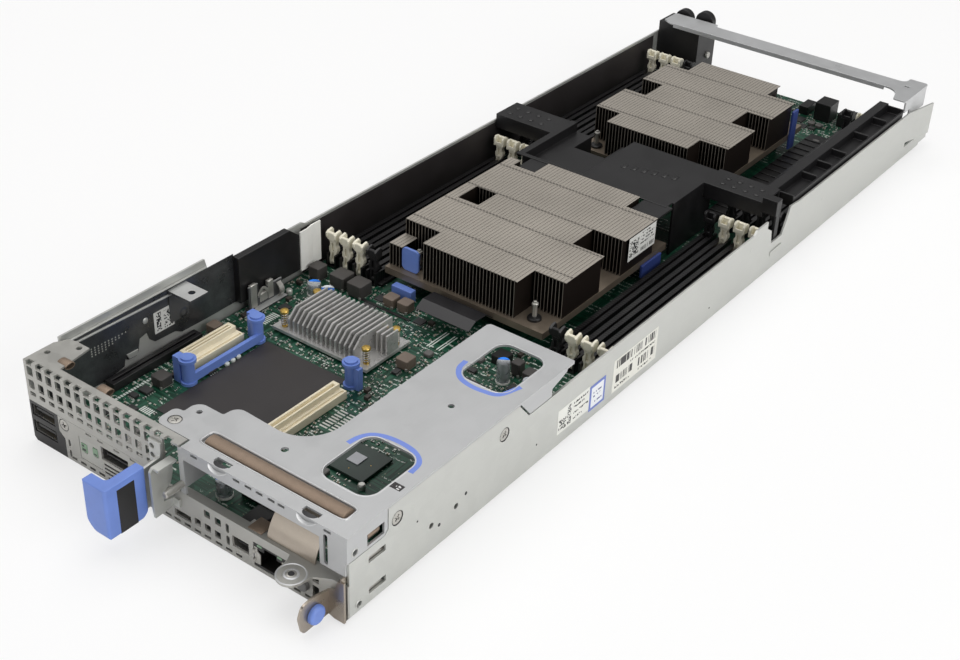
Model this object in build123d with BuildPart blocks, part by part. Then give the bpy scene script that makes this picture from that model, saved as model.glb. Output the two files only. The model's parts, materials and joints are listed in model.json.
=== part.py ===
from build123d import *
import os

os.makedirs("parts", exist_ok=True)

# Half-width server sled. Millimetres, Z up, Y from the port panel to the far end,
# X to the right seen from the ports. The origin is on the underside, at the middle of the port panel.

# Folded tray
sled_half = 87.2
sheet = 1.0
floor_far = 513.0
wall_far = 524.0
wall_top = 31.0
left_wall_top = 42.2
left_rear_top = 32.3
plate_top = 40.5
bend_inner = 2.0
seat_gap = 0.1
bay_near = 22.8
bay_far = 104.0
front_step = 28.0
lower_rear = 9.0
rear_cut = 490.0
left_rear_cut = 506.0
guide_low = 12.0
guide_far = 512.0
guide_out = 92.0
hook_near = 316.0
hook_far = 340.0
hook_floor = 18.0
notch_near = 103.0
notch_far = 116.0
notch_top = 34.0

wall_in = sled_half - sheet
plate_low = plate_top - sheet
bay_top = plate_low - seat_gap

# System board and what stands under it
board_top = 6.8
board_thick = 2.0
board_near = 3.4
board_far = 513.0
board_side = 2.4
board_half = sled_half - board_side
board_low = board_top - board_thick
standoff_r = 2.6
film = 0.3

# Port panels
seam_z = 20.4
panel_split = -16.0
shelf_top = 17.5
port_depth = 12.0
bezel_right = -66.5
bezel_step = -69.6
bezel_turn_z = 12.5
socket_wall = 0.5
clear = 0.05

# Perforated panel
vent_pitch = 5.78
vent_first = -83.8
vent_columns = 13
bend_columns = 15
vent_right = -6.0
vent_hole_w = 3.5
vent_hole_h = 4.3
vent_short_h = 2.0
vent_row_high = 35.9
vent_row_mid = 29.3
vent_row_low = 24.5
flange_right = 3.0
flange_deep = 4.9

# Card bay cover
cover_left = 4.2
cover_far = 143.5
cover_step = 42.4
lip_low = 34.5
slot_left = 5.0
slot_right = 74.0
post_low = 22.0
pan_left = 7.3
pan_right = 79.9
pan_near = 7.0
pan_far = 14.6
pan_drop = 1.2

# Memory banks
bank_first = {-1: 52.5, 1: 54.9}
bank_pitch = 8.6
bank_slots = 4
bank_near_y = 248.3
bank_far_y = 409.3
latch_reach = 69.0
socket_w = 6.4
socket_top = 14.0
latch_head_w = 6.6
latch_neck_w = 4.0
latch_neck_half = 1.6
latch_top = 27.0
latch_head_low = 23.0
latch_pivot_z = 9.0

# Heat sinks
sink_top = 38.5
sink_base_top = 18.5
sink_base_thick = 3.5
fin_pitch = 1.95
fin_thick = 0.35
fin_gap = 0.15
sink_one_x = 0.3
sink_one_y = 233.5
sink_two_x = -5.7
sink_two_y = 403.9
sink_one_half = 46.4
sink_two_half = 41.5
sink_half_len = 54.0
sink_one_near = sink_one_y - sink_half_len
socket_half_x = 35.0
socket_half_y = 39.0
package_half_x = 30.0
package_half_y = 34.0
package_low = 12.0

# Air shroud
shroud_top = 36.5
shroud_thick = 1.2
shroud_skirt = 28.2
shroud_near = 288.6
shroud_far = 342.5
arm_near = 322.0
arm_left = -wall_in + 0.7
arm_right = 78.0
shroud_left = -49.0
shroud_right = 43.0

# Handle
grip_low = 8.3
grip_top = 32.0
grip_front = -30.0
grip_back = -10.0
grip_right = -5.6
grip_left = -10.1
finger_left = -18.6
finger_back = -25.0
arm_x = -7.0
arm_thick = 1.2

# Release latch
latch_gap = 0.8
leaf_thick = 0.7
leaf_x = wall_in - leaf_thick - 0.3
leaf_low = 18.0
leaf_high = 21.8
leaf_far = 62.0
tongue_x = sled_half - 8.2
button_y = -9.5
button_z = 7.5
button_r = 4.0
button_thick = 2.4

# Power button
power_x = 66.0
power_z = 7.2
power_r = 2.5
power_fit = 0.08

front_plane = Plane.XZ.offset(-sheet)


def slab(x, y, z, mode=Mode.ADD):
    """A box between two x, two y and two z values."""
    with Locations(((x[0] + x[1]) / 2, (y[0] + y[1]) / 2, (z[0] + z[1]) / 2)):
        Box(x[1] - x[0], y[1] - y[0], z[1] - z[0], mode=mode)


def stud(x, y, z, radius, mode=Mode.ADD):
    """An upright round post at x, y between two z values."""
    with Locations((x, y, (z[0] + z[1]) / 2)):
        Cylinder(radius, z[1] - z[0], mode=mode)


def outline(points):
    """A closed straight-sided face in the open sketch."""
    with BuildLine() as edge:
        Polyline(*points, close=True)
    make_face(edge.edges())


def rounded(points, radii):
    """A closed face in the open sketch, with one corner radius for each point."""
    with BuildLine() as edge:
        FilletPolyline(*points, radius=radii, close=True)
    make_face(edge.edges())


def pane(a, b, mode=Mode.ADD):
    """A rectangle in the open sketch, between two values of each of its axes."""
    with Locations(((a[0] + a[1]) / 2, (b[0] + b[1]) / 2)):
        Rectangle(a[1] - a[0], b[1] - b[0], mode=mode)


def save(part, name):
    """Labels a finished piece and writes it."""
    part.label = name
    export_step(part, f"parts/{name}.step")


# Tray: floor and both walls folded from one sheet
wall_hole_r = 1.3
wall_holes = [(48.2, 14.6), (63.6, 14.3)]
corner_hole = (6.0, 5.3)
side_screws = [(27.9, 31.8), (94.3, 31.0)]
screw_head_r = 2.9
screw_fit = 0.05
louvre_y = (11.7, 21.2)
louvre_rows = [(6.0, 9.0), (21.0, 24.0)]
wall_step_far = 111.0

with BuildPart() as tray:
    slab((-sled_half, sled_half), (sheet, floor_far), (0, sheet))
    with BuildSketch(Plane.YZ.offset(wall_in)):
        outline([
            (sheet, 0), (sheet, front_step), (bay_near - 2.2, front_step), (bay_near, front_step + 2),
            (bay_near, bay_top), (bay_far, bay_top), (wall_step_far, wall_top), (hook_near - 14, wall_top),
            (hook_near - 11.5, wall_top + 2), (hook_near, wall_top + 2), (hook_near, wall_top - 2),
            (hook_near + 5, 26), (hook_near + 6.5, hook_floor), (hook_far - 6, hook_floor),
            (hook_far - 2, 25.5), (hook_far, wall_top + 1), (hook_far + 11, wall_top), (rear_cut, wall_top),
            (rear_cut, lower_rear), (wall_far, lower_rear), (wall_far, bend_inner + sheet + 0.2),
            (floor_far, bend_inner + sheet + 0.2), (floor_far, 0)])
        with Locations(*wall_holes):
            Circle(wall_hole_r, mode=Mode.SUBTRACT)
        with Locations(corner_hole):
            Circle(wall_hole_r, mode=Mode.SUBTRACT)
        with Locations(*side_screws):
            Circle(screw_head_r + screw_fit, mode=Mode.SUBTRACT)
        for row in louvre_rows:
            pane(louvre_y, row, mode=Mode.SUBTRACT)
    extrude(amount=sheet)
    with BuildSketch(Plane.YZ.offset(-sled_half)):
        outline([
            (sheet, 0), (sheet, bay_top), (18, bay_top), (18, left_wall_top), (notch_near - 2, left_wall_top),
            (notch_near, notch_top), (notch_far + 49, notch_top), (notch_far + 52, left_rear_top),
            (left_rear_cut, left_rear_top), (left_rear_cut, lower_rear), (wall_far, lower_rear),
            (wall_far, bend_inner + sheet + 0.2), (floor_far, bend_inner + sheet + 0.2), (floor_far, 0)])
    extrude(amount=sheet)
    with BuildSketch(Plane.XY.offset(guide_low)):
        outline([(wall_in, rear_cut - sheet), (sled_half, rear_cut - sheet),
                 (guide_out, guide_far), (guide_out - sheet, guide_far)])
    extrude(amount=wall_top - guide_low)
    inner_folds = tray.edges().filter_by(Axis.Y).filter_by(
        lambda e: abs(abs(e.center().X) - wall_in) < 0.01 and abs(e.center().Z - sheet) < 0.01)
    fillet(inner_folds, bend_inner)
    outer_folds = tray.edges().filter_by(Axis.Y).filter_by(
        lambda e: abs(abs(e.center().X) - sled_half) < 0.01 and abs(e.center().Z) < 0.01)
    fillet(outer_folds, bend_inner + sheet)
save(tray.part, "tray")

# Perforated upper panel with its top flange and corner plate
corner_right = -70.0
corner_deep = 22.3
ring_hole = (-83.5, 9.5)
tab_hole = (-75.8, 19.6)
vent_mid = vent_first + vent_pitch * (vent_columns - 1) / 2
bend_mid = vent_first + vent_pitch * (bend_columns - 1) / 2

with BuildPart() as vent_panel:
    with BuildSketch(front_plane):
        pane((-sled_half, vent_right), (seam_z + seat_gap, plate_top))
        for row_z, hole_h in ((vent_row_high, vent_hole_h), (vent_row_mid, vent_hole_h), (vent_row_low, vent_short_h)):
            with Locations((vent_mid, row_z)):
                with GridLocations(vent_pitch, 1, vent_columns, 1):
                    RectangleRounded(vent_hole_w, hole_h, 0.6, mode=Mode.SUBTRACT)
    extrude(amount=sheet)
    with BuildSketch(Plane.XY.offset(plate_low)):
        pane((corner_right - 1, flange_right), (0, flange_deep))
        outline([(-sled_half, 0), (corner_right, 0), (corner_right, flange_deep),
                 (corner_right - 2.6, corner_deep), (corner_right - 10.5, corner_deep),
                 (-sled_half + 2.9, corner_deep - 1), (-sled_half, corner_deep - 6.6)])
        with Locations(ring_hole, tab_hole):
            Circle(wall_hole_r, mode=Mode.SUBTRACT)
    extrude(amount=sheet)
    with Locations((bend_mid, sheet / 2 + 0.3, plate_top - 0.6)):
        with GridLocations(vent_pitch, 1, bend_columns, 1):
            Box(vent_hole_w, sheet + 1.2, 2.6, mode=Mode.SUBTRACT)
save(vent_panel.part, "vent_panel")

# Lower left panel
face_screw = (-66.0, 17.0)
face_screw_r = 2.6
signal_x = (-44.0, -28.0)
signal_z = (10.5, 17.0)
lamp_x = (-57.5, -44.6)
lamp_z = (4.5, 15.5)
face_slots = [(-64.0, 8.5), (-64.0, 3.2)]
seam_slots = [-51.0, -44.0, -34.3, -24.9]
foot_slots_left = [-62.0, -56.4, -50.8, -45.2, -39.6, -34.0, -28.4, -22.8]
foot_slot_z = 1.9
foot_slot_w = 3.4
foot_slot_h = 1.2

with BuildPart() as lower_left_faceplate:
    with BuildSketch(front_plane):
        outline([(bezel_right + clear, 0), (panel_split, 0), (panel_split, seam_z), (bezel_step + clear, seam_z),
                 (bezel_step + clear, bezel_turn_z), (bezel_right + clear, bezel_turn_z - 2.5)])
        with Locations(face_screw):
            Circle(face_screw_r + screw_fit, mode=Mode.SUBTRACT)
        pane(signal_x, signal_z, mode=Mode.SUBTRACT)
        pane(lamp_x, lamp_z, mode=Mode.SUBTRACT)
        with Locations(*face_slots):
            SlotOverall(4.0, 1.3, rotation=90, mode=Mode.SUBTRACT)
        with Locations(*[(x, seam_z - 1.2) for x in seam_slots]):
            SlotOverall(3.4, 1.0, mode=Mode.SUBTRACT)
        with Locations(*[(x, foot_slot_z) for x in foot_slots_left]):
            Rectangle(foot_slot_w, foot_slot_h, mode=Mode.SUBTRACT)
        with Locations((-36.0, 8.4), (-36.0, 6.4), (-36.0, 4.4)):
            SlotOverall(14.0, 1.0, mode=Mode.SUBTRACT)
    extrude(amount=sheet)
save(lower_left_faceplate.part, "lower_left_faceplate")

# Black bezel with two ports
port_x = (-86.0, -72.0)
port_rows = [(4.8, 10.6), (13.2, 19.0)]

with BuildPart() as port_bezel:
    with BuildSketch(front_plane):
        outline([(-sled_half, 1.5), (-sled_half + 1.5, 0), (bezel_right, 0), (bezel_right, bezel_turn_z - 2.5),
                 (bezel_step, bezel_turn_z), (bezel_step, seam_z), (-sled_half, seam_z)])
    extrude(amount=sheet)
    slab((-wall_in + seat_gap, bezel_step - 0.6), (sheet, port_depth - 2), (bend_inner + sheet + 0.4, seam_z - 0.4))
    for row in port_rows:
        slab(port_x, (-1, port_depth + 1), row, mode=Mode.SUBTRACT)
save(port_bezel.part, "port_bezel")

with BuildPart() as bezel_ports:
    for row in port_rows:
        shell_x = (port_x[0] + clear, port_x[1] - clear)
        shell_z = (row[0] + clear, row[1] - clear)
        middle = (row[0] + row[1]) / 2
        slab(shell_x, (0.6, port_depth + 2), shell_z)
        slab((shell_x[0] + socket_wall, shell_x[1] - socket_wall), (0.6, port_depth),
             (shell_z[0] + socket_wall, shell_z[1] - socket_wall), mode=Mode.SUBTRACT)
        slab((shell_x[0] + 1.6, shell_x[1] - 1.6), (2, port_depth + 1), (middle - 0.2, middle + 1.4))
save(bezel_ports.part, "bezel_ports")

# Small sockets: the signal socket on the left, the display and service sockets on the right
display_x = (29.0, 37.7)
display_z = (5.2, 10.5)
service_x = (-2.5, 6.5)
service_z = (4.0, 7.2)

with BuildPart() as small_sockets:
    for span_x, span_z in ((signal_x, signal_z), (display_x, display_z), (service_x, service_z)):
        middle = (span_z[0] + span_z[1]) / 2
        slab((span_x[0] + clear, span_x[1] - clear), (0.4, port_depth), (span_z[0] + clear, span_z[1] - clear))
        slab((span_x[0] + socket_wall, span_x[1] - socket_wall), (0.4, port_depth - 1.5),
             (span_z[0] + socket_wall, span_z[1] - socket_wall), mode=Mode.SUBTRACT)
        slab((span_x[0] + 1.8, span_x[1] - 1.8), (2.5, port_depth - 1), (middle - 0.3, middle + 0.3))
save(small_sockets.part, "small_sockets")

# Status lamp block behind its window
with BuildPart() as lamp_block:
    slab((lamp_x[0] + clear, lamp_x[1] - clear), (0.2, 6.0), (board_top, lamp_z[1] - clear))
    slab((lamp_x[0] + clear, lamp_x[1] - clear), (0.2, board_near - 0.2), (lamp_z[0] + clear, board_top))
    with Locations((lamp_x[0] + 3.2, 0.5, 10.6), (lamp_x[1] - 3.2, 0.5, 11.6)):
        Box(2.6, 1.2, 4.6, mode=Mode.SUBTRACT)
save(lamp_block.part, "lamp_block")

# Right port panel with the shelf and its screw lug
jack_x = (40.2, 57.0)
jack_z = (1.8, 13.4)
lug_x = 66.7
lug_y = -7.4
lug_r = 6.0
lug_hole_r = 1.6
square_holes = [(10.2, 6.5), (15.8, 13.4), (15.7, 6.5), (21.6, 12.8), (21.1, 6.1),
                (71.6, 12.6), (71.6, 7.4), (71.6, 2.2 + 2)]
pill_holes = [(26.6, 12.4), (26.6, 6.4)]
foot_slots_right = [-13.0, -6.6, -1.5, 4.2, 9.8, 15.3, 21.4, 26.8, 32.1, 62.1, 67.6]

with BuildPart() as io_panel:
    with BuildSketch(front_plane):
        pane((panel_split + clear, sled_half), (0, shelf_top))
        pane(jack_x, jack_z, mode=Mode.SUBTRACT)
        pane(display_x, display_z, mode=Mode.SUBTRACT)
        pane(service_x, service_z, mode=Mode.SUBTRACT)
        with Locations((power_x, power_z)):
            Circle(power_r + power_fit, mode=Mode.SUBTRACT)
        with Locations(*square_holes):
            RectangleRounded(3.2, 3.4, 0.5, mode=Mode.SUBTRACT)
        with Locations(*pill_holes):
            SlotOverall(4.5, 1.7, rotation=90, mode=Mode.SUBTRACT)
        with Locations(*[(x, foot_slot_z) for x in foot_slots_right]):
            Rectangle(foot_slot_w, foot_slot_h, mode=Mode.SUBTRACT)
    extrude(amount=sheet)
    with BuildSketch(Plane.XY.offset(shelf_top - sheet)):
        pane((2, 82), (0, 4))
        with Locations((lug_x, lug_y)):
            Circle(lug_r)
        outline([(lug_x - lug_r, lug_y), (lug_x + lug_r, lug_y), (lug_x + 7, -3.5), (lug_x + 14.4, 0.5),
                 (lug_x - 8, 0.5), (lug_x - 6.5, -2.5)])
        with Locations((lug_x, lug_y)):
            Circle(lug_hole_r, mode=Mode.SUBTRACT)
    extrude(amount=sheet)
    foot_corner = io_panel.edges().filter_by(Axis.Y).filter_by(
        lambda e: abs(e.center().X - sled_half) < 0.01 and abs(e.center().Z) < 0.01)
    fillet(foot_corner, bend_inner + sheet)
save(io_panel.part, "io_panel")

# Network jack
with BuildPart() as network_jack:
    slab((jack_x[0] + clear, jack_x[1] - clear), (0.2, 19.6), (jack_z[0] + clear, jack_z[1] - clear))
    slab((jack_x[0] + 2.2, jack_x[1] - 2.2), (0.2, 13.5), (jack_z[0] + 1.1, jack_z[1] - 3.2), mode=Mode.SUBTRACT)
    slab((jack_x[0] + 5.2, jack_x[1] - 5.2), (0.2, 13.5), (jack_z[0] + 1.1, jack_z[1] - 1.2), mode=Mode.SUBTRACT)
save(network_jack.part, "network_jack")

# Power button
power_collar_r = 3.2
power_proud = 2.0
power_travel = 0.8

with BuildPart() as power_button:
    with BuildSketch(Plane.XZ.offset(power_proud)):
        with Locations((power_x, power_z)):
            Circle(power_r)
    extrude(amount=-(power_proud + sheet + 1.0))
    with BuildSketch(Plane.XZ.offset(-(sheet + 0.1))):
        with Locations((power_x, power_z)):
            Circle(power_collar_r)
    extrude(amount=-0.9)
    fillet(power_button.edges().sort_by(Axis.Y)[0], 0.5)
save(power_button.part, "power_button")

# Card bay cover: top plate, front lip, right post, side flanges and left cheek
cover_holes = [(-6.2, 20.0, 1.3), (41.6 - 6.0, 27.6 - 4.0, 1.6), (66.9, 85.6, 1.4)]
cover_screw = (-9.9, 10.6)
louvre_open = [(19.5, 27.5), (64.0, 72.0)]
dash_slots = [11.1, 33.2, 39.3, 44.9, 50.9, 55.8, 78.0]

with BuildPart() as bay_cover:
    with BuildSketch(Plane.XY.offset(plate_low)):
        rounded(
            [(cover_left, 0), (sled_half, 0), (sled_half, cover_far), (cover_step, cover_far),
             (cover_step, 30.2), (cover_left - 1.2, 31.8), (cover_left - 2, 24.6), (-11.5, 24.6),
             (-11.2, 16.6), (-15.5, 16.2), (-15.5, flange_deep + 0.2), (cover_left, flange_deep + 0.3)],
            [0.4, 0.6, 1.0, 2.0, 17.0, 4.5, 1.0, 4.5, 1.0, 2.6, 4.0, 0.3])
        with Locations((66.4, 36.5)):
            RectangleRounded(25.5, 31.2, 6.5, mode=Mode.SUBTRACT)
        with Locations((67.0, 120.2)):
            RectangleRounded(23.9, 31.5, 6.0, mode=Mode.SUBTRACT)
        for hole_x, hole_y, hole_r in cover_holes:
            with Locations((hole_x, hole_y)):
                Circle(hole_r, mode=Mode.SUBTRACT)
        with Locations(cover_screw):
            Circle(face_screw_r + screw_fit, mode=Mode.SUBTRACT)
        for span in louvre_open:
            pane(span, (2.2, 4.6), mode=Mode.SUBTRACT)
    extrude(amount=sheet)
    slab((pan_left - sheet, pan_right + sheet), (pan_near - sheet, pan_far + sheet),
         (plate_low - pan_drop, plate_low))
    slab((pan_left, pan_right), (pan_near, pan_far), (plate_low - pan_drop + sheet, plate_top), mode=Mode.SUBTRACT)
    with BuildSketch(front_plane):
        pane((cover_left, slot_right), (lip_low, plate_low))
        pane((slot_right, wall_in), (post_low, plate_low))
        pane((slot_left - 2.6, slot_left), (shelf_top + seat_gap, lip_low))
        pane((slot_left - 2.6, cover_left), (lip_low, plate_low))
        with Locations(*[(x, plate_low - 0.6) for x in dash_slots]):
            Rectangle(3.4, 1.2, mode=Mode.SUBTRACT)
        with Locations((77.0, 30.0)):
            SlotOverall(14.0, 2.0, rotation=90, mode=Mode.SUBTRACT)
    extrude(amount=sheet)
    slab((slot_left - 1.4, slot_left - 0.4), (sheet, 30), (shelf_top + 3, plate_low))
    with BuildSketch(Plane.YZ.offset(wall_in)):
        outline([(0, front_step + 0.3), (bay_near - 2.4, front_step + 0.3), (bay_near - 0.4, front_step + 2.3),
                 (bay_near - 0.4, plate_low), (0, plate_low)])
        pane((11.0, 20.5), (front_step + 1.6, 35.0), mode=Mode.SUBTRACT)
        with Locations((4.2, 31.4)):
            Circle(wall_hole_r, mode=Mode.SUBTRACT)
        outline([(bay_far + 1, plate_low), (wall_step_far + 0.8, wall_top + 0.4), (127, wall_top + 0.4),
                 (127.2, 35.2), (131.8, 36.6), (137.4, 38.4), (138, plate_low)])
    extrude(amount=sheet)
save(bay_cover.part, "bay_cover")

# Tubular gasket in the pan
gasket_half_w = 2.8
gasket_half_h = 1.3
gasket_wall = 0.35
gasket_y = (pan_near + pan_far) / 2
gasket_z = plate_low - pan_drop + sheet + gasket_half_h

with BuildPart() as gasket:
    with BuildSketch(Plane.YZ.offset(10.0)):
        with Locations((gasket_y, gasket_z)):
            Ellipse(gasket_half_w, gasket_half_h)
            Ellipse(gasket_half_w - gasket_wall, gasket_half_h - gasket_wall, mode=Mode.SUBTRACT)
    extrude(amount=68.3)
save(gasket.part, "gasket")

# Springy contact clips at the panel edges
clip_r = 2.2
clip_wall = 0.4

with BuildPart() as contact_clips:
    with BuildSketch(Plane.YZ.offset(-75.0)):
        with Locations((9.5, plate_top)):
            Circle(clip_r)
            Circle(clip_r - clip_wall, mode=Mode.SUBTRACT)
        pane((5, 14), (plate_top - clip_r - 1, plate_top), mode=Mode.SUBTRACT)
    extrude(amount=6.0)
    with BuildSketch(Plane.YZ.offset(-49.0)):
        with Locations((flange_deep + 0.1 + clip_r, plate_low)):
            Circle(clip_r)
            Circle(clip_r - clip_wall, mode=Mode.SUBTRACT)
    extrude(amount=6.0)
    with BuildSketch(Plane.XZ.offset(-12.4)):
        with Locations((sled_half - clip_r + 0.2, 32.3)):
            Circle(clip_r)
            Circle(clip_r - clip_wall, mode=Mode.SUBTRACT)
        pane((sled_half - 2 * clip_r - 1, wall_in - clip_wall), (28, 36), mode=Mode.SUBTRACT)
    extrude(amount=-6.8)
    slab((36.5, 43.5), (1.2, 8.5), (shelf_top, shelf_top + clip_wall))
save(contact_clips.part, "contact_clips")

# Curved blank that fills the right end of the card slot
with BuildPart() as slot_blank:
    with BuildSketch(Plane.YZ.offset(46.0)):
        with BuildLine():
            Spline((1.6, shelf_top + 0.1), (4.2, 24.0), (9.0, 29.5), (15.0, lip_low))
            Line((15.0, lip_low), (15.8, lip_low))
            Spline((15.8, lip_low), (9.6, 29.0), (4.9, 23.7), (2.4, shelf_top + 0.1))
            Line((2.4, shelf_top + 0.1), (1.6, shelf_top + 0.1))
        make_face()
    extrude(amount=24.0)
save(slot_blank.part, "slot_blank")

# Riser card beside the right wall
riser_x = board_half - 4.4
riser_thick = 1.6
with BuildPart() as riser_card:
    slab((riser_x, riser_x + riser_thick), (20, 98), (board_top + 4.7, plate_low - 1.5))
save(riser_card.part, "riser_card")

# Handle: steel arm, blue grip, its label strip, the side bracket and the guide pin
arm_seat = 13.0
with BuildPart() as handle_arm:
    with BuildSketch(Plane.YZ.offset(arm_x - arm_thick / 2)):
        outline([(0, 11), (-arm_seat, 11), (-arm_seat, 30), (-8, 30.5), (-1.5, 31), (0, 37)])
    extrude(amount=arm_thick)
    slab((-13.0, arm_x + arm_thick / 2), (-sheet, 0), (26, 37))
    with Locations((-11.2, -sheet / 2, 34.0), (-11.2, -sheet / 2, 29.6)):
        Cylinder(1.2, 2 * sheet, rotation=(90, 0, 0), mode=Mode.SUBTRACT)
save(handle_arm.part, "handle_arm")

label_near = -24.2
label_far = -15.5
label_top = 29.2
label_thick = 0.4
finger_round = 10.0
shank_round = 5.0
with BuildPart() as handle_grip:
    with BuildSketch(Plane.XY.offset(grip_low)):
        rounded([(grip_right, grip_back), (grip_left, grip_back), (grip_left, finger_back),
                 (finger_left, finger_back), (finger_left, grip_front), (grip_right, grip_front)],
                [0.8, 0.8, 2.0, 1.0, 1.6, 1.6])
    extrude(amount=grip_top - grip_low)
    with BuildSketch(Plane.XZ.offset(-grip_back)):
        rounded([(grip_right, grip_low), (grip_right, grip_top), (finger_left, grip_top), (finger_left, grip_low)],
                [0.6, 0.4, 0.8, finger_round])
    extrude(amount=grip_back - grip_front, mode=Mode.INTERSECT)
    with BuildSketch(Plane.YZ.offset(finger_left)):
        rounded([(grip_back, grip_low), (grip_back, grip_top), (grip_front, grip_top), (grip_front, grip_low)],
                [shank_round, 0.6, 0.6, 1.6])
    extrude(amount=grip_right - finger_left, mode=Mode.INTERSECT)
    slab((arm_x - arm_thick / 2 - clear, arm_x + arm_thick / 2 + clear), (-arm_seat - 1, grip_back + 1),
         (10.9, 30.6), mode=Mode.SUBTRACT)
    slab((grip_right - label_thick, grip_right + 1), (label_near, label_far), (grip_low - 1, label_top),
         mode=Mode.SUBTRACT)
save(handle_grip.part, "handle_grip")

with BuildPart() as handle_label:
    slab((grip_right - label_thick, grip_right - 0.05), (label_near + clear, label_far - clear),
         (grip_low, label_top - clear))
save(handle_label.part, "handle_label")

bracket_x = (-2.6, -1.4)
with BuildPart() as handle_bracket:
    with BuildSketch(Plane.YZ.offset(bracket_x[0])):
        outline([(0, 9.8), (-10.4, 9), (-11, 15), (-11, 31.5), (-9.6, 33), (0, 33), (0, 26),
                 (-1.3, 21.6), (-5.8, 18.5), (-5.8, 14.5), (0, 13.5)])
    extrude(amount=bracket_x[1] - bracket_x[0])
    slab((bracket_x[0], 1.4), (-9.6, 0), (32, 33))
    slab((bracket_x[0], 1.6), (-sheet, 0), (9.8, 13.5))
save(handle_bracket.part, "handle_bracket")

pin_x = 3.5
pin_z = 22.3
pin_r = 1.5
with BuildPart() as guide_pin:
    with BuildSketch(Plane.XZ.offset(9.5)):
        with Locations((pin_x, pin_z)):
            Circle(pin_r)
    extrude(amount=-9.5)
    chamfer(guide_pin.edges().sort_by(Axis.Y)[0], 0.4)
save(guide_pin.part, "guide_pin")

# Release latch: a leaf along the right wall, a front strap and the finger tongue
strap_front = -latch_gap - sheet
with BuildPart() as release_latch:
    slab((leaf_x, leaf_x + leaf_thick), (strap_front, leaf_far), (leaf_low, leaf_high))
    with BuildSketch(Plane.XZ.offset(latch_gap)):
        outline([(tongue_x - 0.5, 2), (tongue_x + 3, 0.9), (sled_half - 0.3, 0.9), (sled_half - 0.3, 20.2),
                 (sled_half - 3.2, 19.8), (tongue_x + 3.4, 15), (tongue_x - 0.5, 13)])
    extrude(amount=sheet)
    with BuildSketch(Plane.YZ.offset(tongue_x - sheet / 2)):
        rounded([(-latch_gap, 13), (-9.0, 15.2), (-15.6, 14.8), (-17.6, 10.0), (-16.0, 1.8), (-latch_gap, 2)],
                [0.2, 2.0, 3.0, 4.0, 2.5, 0.2])
    extrude(amount=sheet)
save(release_latch.part, "release_latch")

with BuildPart() as release_button:
    with BuildSketch(Plane.YZ.offset(tongue_x + sheet / 2)):
        with Locations((button_y, button_z)):
            Circle(button_r)
    extrude(amount=button_thick)
    fillet(release_button.edges().sort_by(Axis.X)[-1], 1.2)
save(release_button.part, "release_button")

# System board with notches round the sockets that sink into its edge
with BuildPart() as system_board:
    slab((-board_half, board_half), (board_near, board_far), (board_low, board_top))
    slab((-board_half - 1, bezel_right + 1), (board_near - 1, port_depth + 3), (board_low - 1, board_top + 1),
         mode=Mode.SUBTRACT)
    slab((display_x[0] - 1, display_x[1] + 1), (board_near - 1, port_depth + 0.5), (board_low - 1, board_top + 1),
         mode=Mode.SUBTRACT)
    slab((service_x[0] - 1, service_x[1] + 1), (board_near - 1, port_depth + 0.5), (board_low - 1, board_top + 1),
         mode=Mode.SUBTRACT)
    slab((jack_x[0] - 1, jack_x[1] + 1), (board_near - 1, 20.2), (board_low - 1, board_top + 1),
         mode=Mode.SUBTRACT)
save(system_board.part, "system_board")

with BuildPart() as board_standoffs:
    with Locations((0, (board_near + board_far) / 2, (sheet + board_low) / 2)):
        with GridLocations(2 * board_half - 16, 90, 2, 6):
            Cylinder(standoff_r, board_low - sheet)
save(board_standoffs.part, "board_standoffs")

# Beige mezzanine connectors
with BuildPart() as mezzanine_connectors:
    for left, right, near, far in ((-73.5, -64.6, 69.5, 102.0), (-6.0, 1.0, 42.0, 98.0)):
        rib = left + (right - left) * 0.55
        slab((left, right), (near, far), (board_top, 11.0))
        slab((left, rib), (near + 1.0, far - 1.0), (11.0, 14.0))
        slab((left + 1.2, left + 2.2), (near + 3.0, far - 3.0), (12.0, 15.0), mode=Mode.SUBTRACT)
        slab((rib - 1.8, rib - 0.9), (near + 3.0, far - 3.0), (12.0, 15.0), mode=Mode.SUBTRACT)
        slab((right - 2.0, right - 0.8), (near + 1.0, far - 1.0), (10.0, 12.0), mode=Mode.SUBTRACT)
save(mezzanine_connectors.part, "mezzanine_connectors")

with BuildPart() as insulating_sheet:
    slab((-56.2, -8.0), (40.0, 108.0), (board_top, board_top + film))
    slab((-wall_in + seat_gap, -wall_in + seat_gap + film), (164.0, rear_cut), (board_top, wall_top))
    slab((wall_in - seat_gap - film, wall_in - seat_gap), (164.0, hook_near - 2), (board_top, wall_top - 1))
save(insulating_sheet.part, "insulating_sheet")

# Blue card guides: two posts joined by a bar, and a third post
guide_post_top = 20.7
guide_post_r = 2.9
guide_disc_r = 4.0
guide_posts = [(-60.0, 63.0), (-60.3, 106.0), (-4.0, 106.5)]
with BuildPart() as card_guides:
    for post_x, post_y in guide_posts:
        stud(post_x, post_y, (board_top, board_top + 1.4), guide_disc_r - 0.3)
        stud(post_x, post_y, (board_top, guide_post_top), guide_post_r)
        stud(post_x, post_y, (guide_post_top - 2.4, guide_post_top - 0.9), guide_disc_r)
        stud(post_x, post_y, (guide_post_top - 0.9, guide_post_top), 1.6)
    slab((-59.2, -57.2), (guide_posts[0][1], guide_posts[1][1]), (8.0, 12.0))
    slab((-66.4, -62.4), (60.2, 64.4), (board_top, 19.8))
    slab((-66.4, -62.4), (106.0, 110.0), (board_top, 19.8))
    slab((-1.6, 1.4), (105.0, 108.0), (board_top, 17.8))
save(card_guides.part, "card_guides")

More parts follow.
